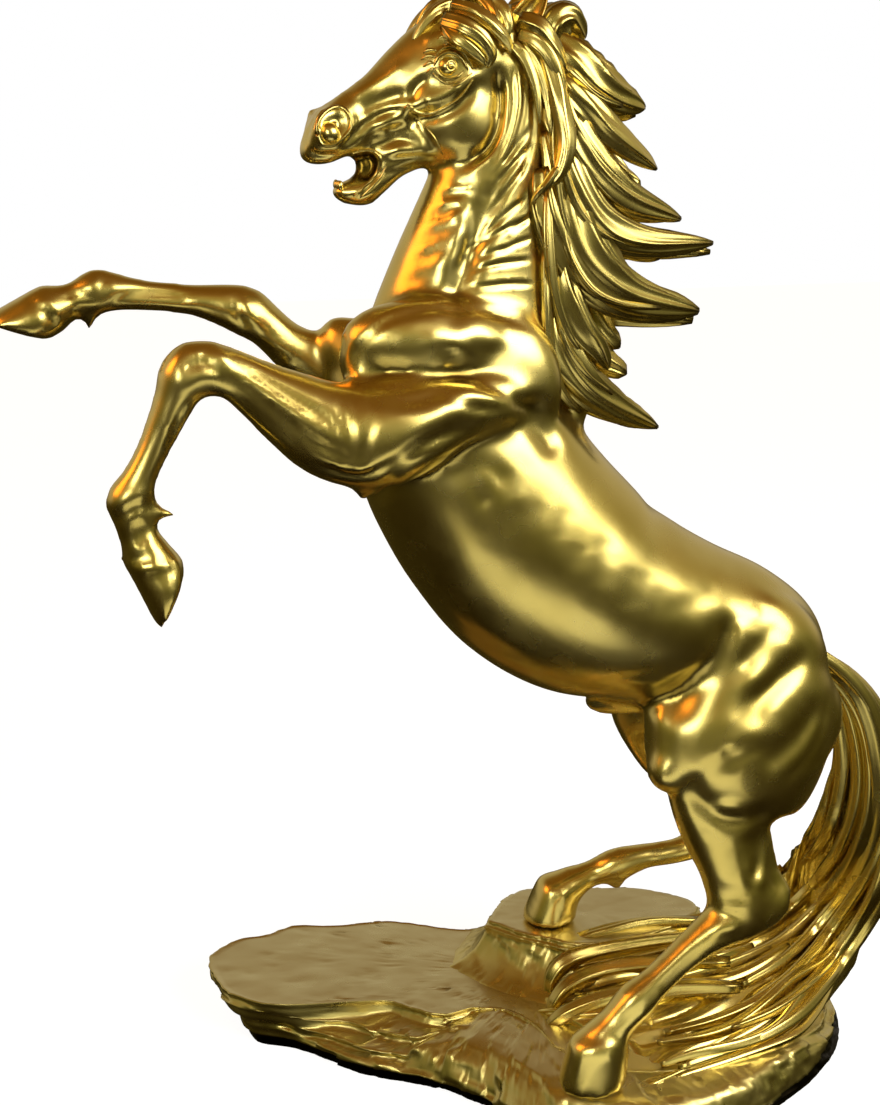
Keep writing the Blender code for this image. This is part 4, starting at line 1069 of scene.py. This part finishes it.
def tail():
    """One fluted body of hair from the dock to its ends on the deck, and loose strands on it."""
    near, far = tail_lines()
    count = len(TAIL_LINES)
    steps = [NEAR_STEPS] * (count - 1) + [FAR_STEPS] + [FAR_STEPS] * (count - 1) + [FAR_STEPS]
    turns = np.concatenate([[0], np.cumsum([0.085 if s == NEAR_STEPS else 0.045 for s in steps])])
    marks = np.concatenate([np.linspace(a, b, s, endpoint=False) for a, b, s in zip(turns, turns[1:], steps)])
    bm = bmesh.new()
    rings = []
    for number in range(TAIL_RINGS):
        rows = closed_rows(np.vstack([near[:, number], far[::-1, number]]), steps)
        along = number / (TAIL_RINGS - 1)
        ahead = Vector(near[3, min(number + 1, TAIL_RINGS - 1)] - near[3, max(number - 1, 0)]).normalized()
        tangent = np.roll(rows, -1, axis=0) - np.roll(rows, 1, axis=0)
        ring = []
        for spot, way, turn in zip(rows, tangent, marks):
            out = ahead.cross(Vector(way))
            out = out.normalized() if out.length > 1e-6 else Vector()
            ring.append(bm.verts.new(Vector(spot) + out * strands_relief(turn, along)))
        rings.append(ring)
    bridge(bm, rings)
    bmesh.ops.recalc_face_normals(bm, faces=bm.faces)
    shapes = [bm]
    for number, (line, start, end, radius) in enumerate(LOOSE_STRANDS):
        low = int(line)
        path = near[low] * (1 - line + low) + near[min(low + 1, count - 1)] * (line - low)
        picks = np.linspace(start, end, LOOSE_STEPS) * (TAIL_RINGS - 1)
        path = path[picks.astype(int)]
        share = np.linspace(0, 1, LOOSE_STEPS)
        path[:, 1] += 4.5 * np.sin(8 * share + number) - 0.5
        path[:, 2] += 2.5 * np.sin(11 * share + 2 * number)
        shapes.append(strand(path, radius, flutes=4, depth=0.12, phase=number))
    for number, (path, radius) in enumerate(CURLS):
        spots = [at_level(*p) for p in path]
        shapes.append(strand(spots, radius, flutes=5, depth=0.13, phase=number, flat=0.9))
    return shapes


# The rock's plan, walked round from its left tip, and the layers' levels above the deck
ROCK_OUTLINE = (
    (-266, 208), (-258, 160), (-250, 124), (-212, 100), (-158, 42), (-100, 4), (-54, -40), (-8, -110),
     (60, -148),
    (140, -152), (220, -120), (297, -74), (340, -14), (345, 44), (318, 96), (268, 138), (210, 172),
    (146, 192), (76, 202), (-1, 200), (-89, 242), (-184, 256), (-246, 238),
)
DECK_LIP = (
    (-285, 206), (-277, 150), (-256, 119), (-222, 99), (-189, 92), (-150, 86), (-112, 77), (-88, 52),
     (-66, 40),
    (-36, 44), (-10, 34), (12, 4), (26, -48), (60, -88), (140, -104), (220, -84), (290, -44), (318, 10),
    (328, 50), (304, 92), (258, 130), (206, 162), (144, 182), (76, 192), (0, 190), (-50, 214), (-89, 232),
    (-136, 234), (-184, 247), (-216, 236), (-246, 234),
)
LEDGE_OUTLINE = (
    (2, 120), (40, 80), (84, 52), (140, 52), (190, 64), (226, 96), (190, 136), (142, 154), (98, 166),
    (54, 171), (24, 150),
)
ROCK_CENTRE = (60.0, 80.0)
LEDGE_CENTRE = (105.0, 112.0)
AROUND = 620
# The thin lip of the deck and the black foot: millimetres beyond their outlines, and level
LIP_EDGE = ((-2.0, 0.2), (-0.6, 0.9), (0.6, 0.4), (0.8, -1.2), (-0.6, -3.5), (-1.6, -5.5))
FOOT_EDGE = ((0.0, -39.5), (0.8, -41.0), (-0.6, -42.5), (-5.0, -43.5), (-6.5, -49.0), (-7.0, -DECK))
# The cliff from the lip of the deck to the foot, in three slabs: share of the way out, and level
CLIFF = (
    (0.03, -6.5), (0.05, -9.5), (0.10, -12.0), (0.22, -13.5), (0.34, -14.6), (0.44, -15.2), (0.50, -15.0),
    (0.515, -16.5), (0.49, -19.0), (0.48, -21.5), (0.56, -24.0), (0.66, -25.6), (0.76, -26.6), (0.83, -27.0),
    (0.845, -28.6), (0.82, -31.0), (0.82, -33.5), (0.90, -35.5), (0.97, -36.6), (0.99, -38.0),
)
# The gentler fall in front, where the near hoof stands
TERRACE = (
    (0.02, -1.0), (0.08, -1.5), (0.14, -2.0), (0.20, -2.3), (0.26, -2.6), (0.32, -3.0), (0.38, -3.4),
    (0.44, -3.8), (0.50, -4.3), (0.55, -4.8), (0.60, -5.4), (0.65, -6.2), (0.70, -7.4), (0.75, -9.5),
    (0.80, -12.5), (0.845, -17.0), (0.88, -22.0), (0.92, -28.0), (0.96, -33.0), (0.985, -37.5),
)
# The ledge from its rim outward: millimetres beyond the rim, and level
LEDGE_FALL = (
    (0.6, 50.3), (1.6, 49.4), (1.2, 47.8), (0.0, 46.2), (1.4, 45.2), (3.6, 44.8), (4.4, 43.6), (3.4, 41.6),
    (4.0, 39.0), (5.2, 36.4), (6.6, 33.6), (8.2, 30.6), (10.0, 27.4), (12.0, 24.0), (14.4, 20.6),
    (17.0, 17.2), (20.0, 13.8), (23.4, 10.6), (27.4, 7.6), (32.0, 4.8), (37.0, 2.4), (42.0, 0.4),
     (46.0, -5.0),
)


def ripple(x, y, z, scale):
    """Smooth uneven relief, between about -1 and 1."""
    return fractal_noise(Vector((x, y, z)) / scale, 0.6, 2.0, 4)


def facet(x, y, z, size):
    """Height of broken flat faces, between about -1 and 1."""
    spot = Vector((x, y, 2.4 * z + 0.5 * x)) / size
    heart = voronoi(spot)[1][0]
    key = (round(97 * heart.x), round(89 * heart.y), round(83 * heart.z))
    tilt = Vector((noise(*key), noise(*key[::-1]), noise(key[1], key[0], key[2])))
    return (spot - heart).dot(tilt) * 1.1 + 0.45 * noise(key[2], key[0], key[1])


def reach_of(outline, centre, angles):
    """How far the closed outline lies from the centre in each direction."""
    rows = smooth_rows([*outline, outline[0]], 8)[:-1] - np.array(centre)
    ends = np.roll(rows, -1, axis=0)
    reach = []
    for angle in angles:
        c, s = math.cos(angle), math.sin(angle)
        one = c * rows[:, 1] - s * rows[:, 0]
        two = c * ends[:, 1] - s * ends[:, 0]
        gap = np.where(np.abs(one - two) < 1e-9, 1e-9, one - two)
        share = one / gap
        spots = rows + share[:, None] * (ends - rows)
        away = spots @ (c, s)
        reach.append(away[(share >= 0) & (share <= 1) & (away > 0)].max())
    return np.array(reach)


def lofted(rings_of_points):
    """A closed body through rings of points, with its faces turned out."""
    bm = bmesh.new()
    rings = [[bm.verts.new(spot) for spot in ring] for ring in rings_of_points]
    bridge(bm, rings)
    bmesh.ops.recalc_face_normals(bm, faces=bm.faces)
    return bm


def deck_level(x, y):
    """The smooth deck: nearly flat, with faint swells and a few shallow scars."""
    scar = max(0.0, ripple(1.6 * x, y, 40, 30) - 0.35)
    return 0.9 * ripple(x, y, 5, 90) + 0.12 * ripple(x, y, 9, 18) - 1.6 * scar


def rock_body():
    """The deck, its thin broken lip, the slabs of the cliff below it and the black foot."""
    angles = np.linspace(0, 2 * math.pi, AROUND, endpoint=False)
    lip = reach_of(DECK_LIP, ROCK_CENTRE, angles)
    foot = np.maximum(reach_of(ROCK_OUTLINE, ROCK_CENTRE, angles), lip - 24)
    way = np.column_stack([np.cos(angles), np.sin(angles)])
    middle = np.array(ROCK_CENTRE)
    edge = middle + way * lip[:, None]
    calm = 1 - 0.65 * np.clip((edge[:, 0] - 40) / 80, 0, 1)
    chips = calm * [
        2.6 * ripple(x, y, 3, 34) + 1.5 * facet(x, y, 0, 26) + 0.8 * ripple(x, y, 8, 9) for x, y in edge
    ]
    gentle = np.clip((edge[:, 0] + 60) / 50, 0, 1) * np.clip((300 - edge[:, 0]) / 60, 0, 1)
    gentle *= edge[:, 1] < 60
    rings = []
    for share in np.linspace(0.03, 0.975, 46):
        flat = middle + way * (lip * share)[:, None]
        rings.append([(x, y, deck_level(x, y)) for x, y in flat])
    for beyond, level in LIP_EDGE:
        flat = middle + way * (lip + chips + beyond)[:, None]
        fade = (1 - gentle) if level < 0 else np.ones(AROUND)
        rings.append([(x, y, deck_level(x, y) * (level > 0) + level * f) for (x, y), f in zip(flat, fade)])
    for (steep, low), (easy, high) in zip(CLIFF, TERRACE):
        ring = []
        for k in range(AROUND):
            out = steep + (easy - steep) * gentle[k]
            level = low + (high - low) * gentle[k]
            start = lip[k] + chips[k] * math.exp(-14 * out)
            x, y = middle + way[k] * (start + (foot[k] - start) * out)
            level += 14 * out * (1 - out) * (1 - gentle[k]) * ripple(x, y, 40, 80)
            broken = facet(x, y, level, 46) * calm[k] * (0.5 if gentle[k] > 0.5 and out < 0.76 else 1.0)
            fine = 0.22 * facet(x, y, level, 17)
            spread = 6.0 * (broken + fine) * min(1.0, 8 * out)
            ring.append((x + way[k][0] * spread, y + way[k][1] * spread, level + 2.6 * (broken + fine)))
        rings.append(ring)
    for beyond, level in FOOT_EDGE:
        ring = []
        for k in range(AROUND):
            x, y = middle + way[k] * (foot[k] + beyond)
            chip = calm[k] * (1.8 * facet(x, y, 0, 40) + 1.0 * ripple(x, y, 2, 12))
            fall = 0.0 if level <= -DECK else 1.6 * ripple(x, y, 7, 30)
            ring.append((x + way[k][0] * chip, y + way[k][1] * chip, level + fall))
        rings.append(ring)
    return lofted(rings)


def ledge_body():
    """The raised ledge at the back: two thin broken layers over a slope that runs into the deck."""
    angles = np.linspace(0, 2 * math.pi, 360, endpoint=False)
    reach = reach_of(LEDGE_OUTLINE, LEDGE_CENTRE, angles)
    limit = reach_of(DECK_LIP, LEDGE_CENTRE, angles) - 2
    rings = []
    for share in np.linspace(0.04, 0.96, 16):
        ring = []
        for angle, far in zip(angles, reach):
            x = LEDGE_CENTRE[0] + math.cos(angle) * far * share
            y = LEDGE_CENTRE[1] + math.sin(angle) * far * share
            ring.append((x, y, LEDGE + 0.6 * ripple(x, y, 2, 60)))
        rings.append(ring)
    for beyond, level in LEDGE_FALL:
        ring = []
        fade = math.exp(-max(0.0, beyond - 4) / 16)
        for angle, far, most in zip(angles, reach, limit):
            out = min(far + beyond, most)
            x = LEDGE_CENTRE[0] + math.cos(angle) * far
            y = LEDGE_CENTRE[1] + math.sin(angle) * far
            out += fade * (2.2 * facet(x, y, level, 30) + 1.5 * ripple(x, y, level, 20))
            x = LEDGE_CENTRE[0] + math.cos(angle) * out
            y = LEDGE_CENTRE[1] + math.sin(angle) * out
            ring.append((x, y, level + (beyond > 5) * 1.5 * facet(x, y, level, 24)))
        rings.append(ring)
    return lofted(rings)


def piece_of(name, shapes):
    """A piece of the shapes as they are, without fusing them."""
    obj = linked(name, gathered(shapes, TO_PART))
    obj.data.shade_smooth()
    return obj


# Materials

LACQUER = ((0.64, 0.50, 0.13, 1), (0.80, 0.66, 0.23, 1))
ROCK_LACQUER = ((0.56, 0.46, 0.14, 1), (0.75, 0.64, 0.25, 1))
# Pale grey of the painted reflection on the rock's level surfaces
LEVEL_REFLECTION_COLOUR = (0.75, 0.67, 0.40, 1)
# Brown of the painted shade in creases and in the throat
CREASE_SHADE_COLOUR = (0.17, 0.11, 0.016, 1)
FOOT_BLACK = (0.012, 0.009, 0.005, 1)


def added(nodes, kind, **values):
    """A new shader node of the kind, with values for its inputs."""
    node = nodes.new("ShaderNode" + kind)
    for name, value in values.items():
        node.inputs[name.replace("_", " ")].default_value = value
    return node


def ranged(tree, value, **limits):
    """The value mapped from one range to another."""
    node = added(tree.nodes, "MapRange", **limits)
    tree.links.new(value, node.inputs["Value"])
    return node.outputs["Result"]


def mixed(tree, share, one, two):
    """A mix of two colours, each of them a socket or fixed."""
    node = tree.nodes.new("ShaderNodeMix")
    node.data_type = "RGBA"
    tree.links.new(share, node.inputs["Factor"])
    for name, colour in (("A", one), ("B", two)):
        if isinstance(colour, tuple):
            node.inputs[name].default_value = colour
        else:
            tree.links.new(colour, node.inputs[name])
    return node.outputs["Result"]


def split_axes(tree, vector):
    node = tree.nodes.new("ShaderNodeSeparateXYZ")
    tree.links.new(vector, node.inputs["Vector"])
    return node.outputs


def cloudy(tree, place, **values):
    """Smooth noise over the object."""
    node = added(tree.nodes, "TexNoise", Detail=3.0, **values)
    tree.links.new(place, node.inputs["Vector"])
    return node.outputs["Fac"]


def gold_paint(name, colours, gloss, grain, foot=False):
    """Gold lacquer: metallic, uneven in tint and gloss, with a faint grain and painted shade darkening its
    creases.
    """
    material = bpy.data.materials.new(name)
    material.use_nodes = True
    tree = material.node_tree
    nodes, links = tree.nodes, tree.links
    shader = nodes["Principled BSDF"]
    shader.inputs["Metallic"].default_value = 1.0
    place = nodes.new("ShaderNodeTexCoord").outputs["Object"]
    tint = nodes.new("ShaderNodeValToRGB")
    for stop, position, colour in zip(tint.color_ramp.elements, (0.25, 0.75), colours):
        stop.position = position
        stop.color = colour
    links.new(cloudy(tree, place, Scale=7.0, Roughness=0.62), tint.inputs["Fac"])
    # Painted shade: the tint darkens to brown in creases and in the throat
    painted_shade = nodes.new("ShaderNodeAttribute")
    painted_shade.attribute_name = "painted_shade"
    colour = mixed(tree, painted_shade.outputs["Fac"], tint.outputs["Color"], CREASE_SHADE_COLOUR)
    if foot:
        # The rock gets the painted reflection on its level faces, then its black foot
        colour = black_foot(tree, place, with_level_reflection(tree, colour))
    links.new(colour, shader.inputs["Base Color"])
    smear = cloudy(tree, place, Scale=24.0)
    rough = ranged(tree, smear, From_Min=0.3, From_Max=0.7, To_Min=gloss[0], To_Max=gloss[1])
    links.new(rough, shader.inputs["Roughness"])
    bump = added(nodes, "Bump", Strength=grain, Distance=0.002)
    links.new(smear, bump.inputs["Height"])
    links.new(bump.outputs["Normal"], shader.inputs["Normal"])
    return material


def with_level_reflection(tree, colour):
    """Paints a reflection of the pale room on the colour: greyer where the surface lies level."""
    shape = tree.nodes.new("ShaderNodeNewGeometry")
    level = split_axes(tree, shape.outputs["Normal"])["Z"]
    share = ranged(tree, level, From_Min=0.90, From_Max=0.985, To_Max=0.8)
    return mixed(tree, share, colour, LEVEL_REFLECTION_COLOUR)


def black_foot(tree, place, colour):
    """Turns the colour black-brown below the lowest rim of the rock, and higher at its right end."""
    axes = split_axes(tree, place)
    climb = ranged(tree, axes["X"], From_Min=0.12, From_Max=0.32, To_Max=0.014)
    level = tree.nodes.new("ShaderNodeMath")
    level.operation = "SUBTRACT"
    tree.links.new(axes["Z"], level.inputs[0])
    tree.links.new(climb, level.inputs[1])
    share = ranged(tree, level.outputs["Value"], From_Min=0.010, From_Max=0.0135)
    return mixed(tree, share, FOOT_BLACK, colour)


# The throat in the part's frame, where shade is painted dark, and its size
MOUTH = np.array(TO_PART @ Vector((-143, 0, 822)))
MOUTH_SIZE = np.array((0.022, 0.0135, 0.022))
# How deep a crease of each piece lies before its painted shade is quite dark, in metres
PAINTED_SHADE_DEPTHS = {"horse_figure": 0.0011, "mane_hair": 0.0016, "tail_hair": 0.0030, "rock_base": 0.0050}


def mark_painted_shade(obj, full, rounds=5):
    """Stores how deep each point lies in a crease, and where the throat is, as the material's painted shade
    value.
    """
    points, normals = points_of(obj.data), normals_of(obj.data)
    mean = points.copy()
    for _ in range(rounds):
        mean = mean_of_neighbours(obj.data, mean)
    depth = ((mean - points) * normals).sum(axis=1)
    value = np.clip((depth - 0.25 * full) / full, 0, 1)
    value = mean_of_neighbours(obj.data, mean_of_neighbours(obj.data, value[:, None]))[:, 0]
    # Painted shade filling the open mouth
    throat = np.linalg.norm((points - MOUTH) / MOUTH_SIZE, axis=1)
    value = np.maximum(value, np.clip(4.0 * (1.0 - throat), 0, 1))
    attribute = obj.data.attributes.new("painted_shade", "FLOAT", "POINT")
    attribute.data.foreach_set("value", value.astype(np.float32))


# Stage

def area_light(name, place, target, size, power, colour, height=None):
    data = bpy.data.lights.new(name, "AREA")
    data.shape = "RECTANGLE"
    data.size = size
    data.size_y = height or size
    data.energy = power
    data.color = colour
    obj = bpy.data.objects.new(name, data)
    obj.location = place
    obj.rotation_euler = (Vector(target) - Vector(place)).to_track_quat("-Z", "Y").to_euler()
    bpy.context.scene.collection.objects.link(obj)
    return obj


# The room in the reflections, by the height of the ray: in front of the horse, and behind it
FRONT_ROOM = (
    (0.0, (0.010, 0.006, 0.001, 1)), (0.25, (0.026, 0.018, 0.002, 1)), (0.42, (0.055, 0.046, 0.006, 1)),
    (0.50, (0.10, 0.098, 0.02, 1)), (0.60, (0.25, 0.235, 0.09, 1)), (0.75, (0.34, 0.23, 0.07, 1)),
    (0.88, (0.24, 0.11, 0.018, 1)), (1.0, (0.19, 0.085, 0.012, 1)),
)
BACK_ROOM = (
    (0.0, (0.010, 0.006, 0.001, 1)), (0.42, (0.06, 0.048, 0.012, 1)), (0.52, (0.56, 0.50, 0.41, 1)),
    (0.75, (0.48, 0.42, 0.31, 1)), (0.88, (0.22, 0.12, 0.028, 1)), (1.0, (0.19, 0.085, 0.012, 1)),
)


def ramp_node(nodes, stops):
    ramp = nodes.new("ShaderNodeValToRGB")
    for position, colour in stops[1:-1]:
        ramp.color_ramp.elements.new(position).color = colour
    ramp.color_ramp.elements[0].color = stops[0][1]
    ramp.color_ramp.elements[-1].color = stops[-1][1]
    return ramp


def room():
    """The world: pale to the camera, and a dim warm room in the reflections."""
    world = bpy.data.worlds.new("room")
    bpy.context.scene.world = world
    world.use_nodes = True
    tree = world.node_tree
    nodes, links = tree.nodes, tree.links
    nodes.clear()
    axes = split_axes(tree, nodes.new("ShaderNodeTexCoord").outputs["Generated"])
    rise = ranged(tree, axes["Z"], From_Min=-1.0)
    back = ranged(tree, axes["Y"], From_Min=-0.2, From_Max=0.3)
    walls = []
    for stops in (FRONT_ROOM, BACK_ROOM):
        ramp = ramp_node(nodes, stops)
        links.new(rise, ramp.inputs["Fac"])
        walls.append(ramp.outputs["Color"])
    dim = nodes.new("ShaderNodeBackground")
    links.new(mixed(tree, back, *walls), dim.inputs["Color"])
    pale = added(nodes, "Background", Color=(1, 1, 1, 1))
    seen = nodes.new("ShaderNodeLightPath")
    mix = nodes.new("ShaderNodeMixShader")
    out = nodes.new("ShaderNodeOutputWorld")
    links.new(seen.outputs["Is Camera Ray"], mix.inputs["Fac"])
    links.new(dim.outputs["Background"], mix.inputs[1])
    links.new(pale.outputs["Background"], mix.inputs[2])
    links.new(mix.outputs["Shader"], out.inputs["Surface"])


def floor():
    """A plain pale floor, kept out of the gold's reflections."""
    bm = bmesh.new()
    bmesh.ops.create_grid(bm, x_segments=1, y_segments=1, size=6)
    obj = linked("floor", bm)
    material = bpy.data.materials.new("pale_floor")
    material.use_nodes = True
    shader = material.node_tree.nodes["Principled BSDF"]
    shader.inputs["Base Color"].default_value = (0.35, 0.35, 0.35, 1)
    shader.inputs["Roughness"].default_value = 0.9
    shader.inputs["Emission Color"].default_value = (1, 1, 1, 1)
    shader.inputs["Emission Strength"].default_value = 0.92
    obj.data.materials.append(material)
    obj.visible_glossy = False


def camera():
    data = bpy.data.cameras.new("camera")
    data.sensor_fit = "AUTO"
    data.sensor_width = 36.0
    data.lens = FOCAL_PIXELS * 36.0 / PHOTO_HEIGHT
    obj = bpy.data.objects.new("camera", data)
    obj.location = EYE
    obj.rotation_euler = (math.pi / 2 - PITCH, 0, -TURN)
    bpy.context.scene.collection.objects.link(obj)
    bpy.context.scene.camera = obj


def lights():
    middle = (0.0, 0.0, 0.55)
    area_light("key", (1.5, -1.9, 1.8), middle, 2.0, 53, (1, 0.98, 0.92), 1.3)
    area_light("front", (-1.3, -2.2, 1.2), middle, 0.8, 14, (1, 0.98, 0.92), 0.8)
    area_light("glow", (-0.1, -0.78, 0.01), (-0.05, -0.2, 0.5), 0.9, 1.0, (1, 0.97, 0.80), 0.35)
    return area_light("warm", (-2.2, -0.3, 1.9), middle, 1.3, 20, (1, 0.32, 0.05))


def only_on(light, objects):
    """Keeps the light off everything but the objects."""
    lit = bpy.data.collections.new("lit_by_" + light.name)
    for obj in objects:
        lit.objects.link(obj)
    light.light_linking.receiver_collection = lit


camera()
room()
floor()
warm = lights()
gold = gold_paint("gold_lacquer", LACQUER, (0.23, 0.29), 0.015)
rock_gold = gold_paint("rock_lacquer", ROCK_LACQUER, (0.24, 0.40), 0.10, foot=True)
pieces = [
    (horse_figure(), gold),
    (piece_of("mane_hair", mane() + [ear(-1), ear(1)]), gold),
    (piece_of("tail_hair", tail()), gold),
    (piece_of("rock_base", [rock_body(), ledge_body()]), rock_gold),
]
for piece, paint in pieces:
    mark_painted_shade(piece, PAINTED_SHADE_DEPTHS[piece.name])
    piece.data.materials.clear()
    piece.data.materials.append(paint)
    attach(piece, "root")
    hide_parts("horse_sculpture")
only_on(warm, [pieces[0][0], pieces[1][0]])
bpy.context.scene.view_settings.view_transform = "Standard"
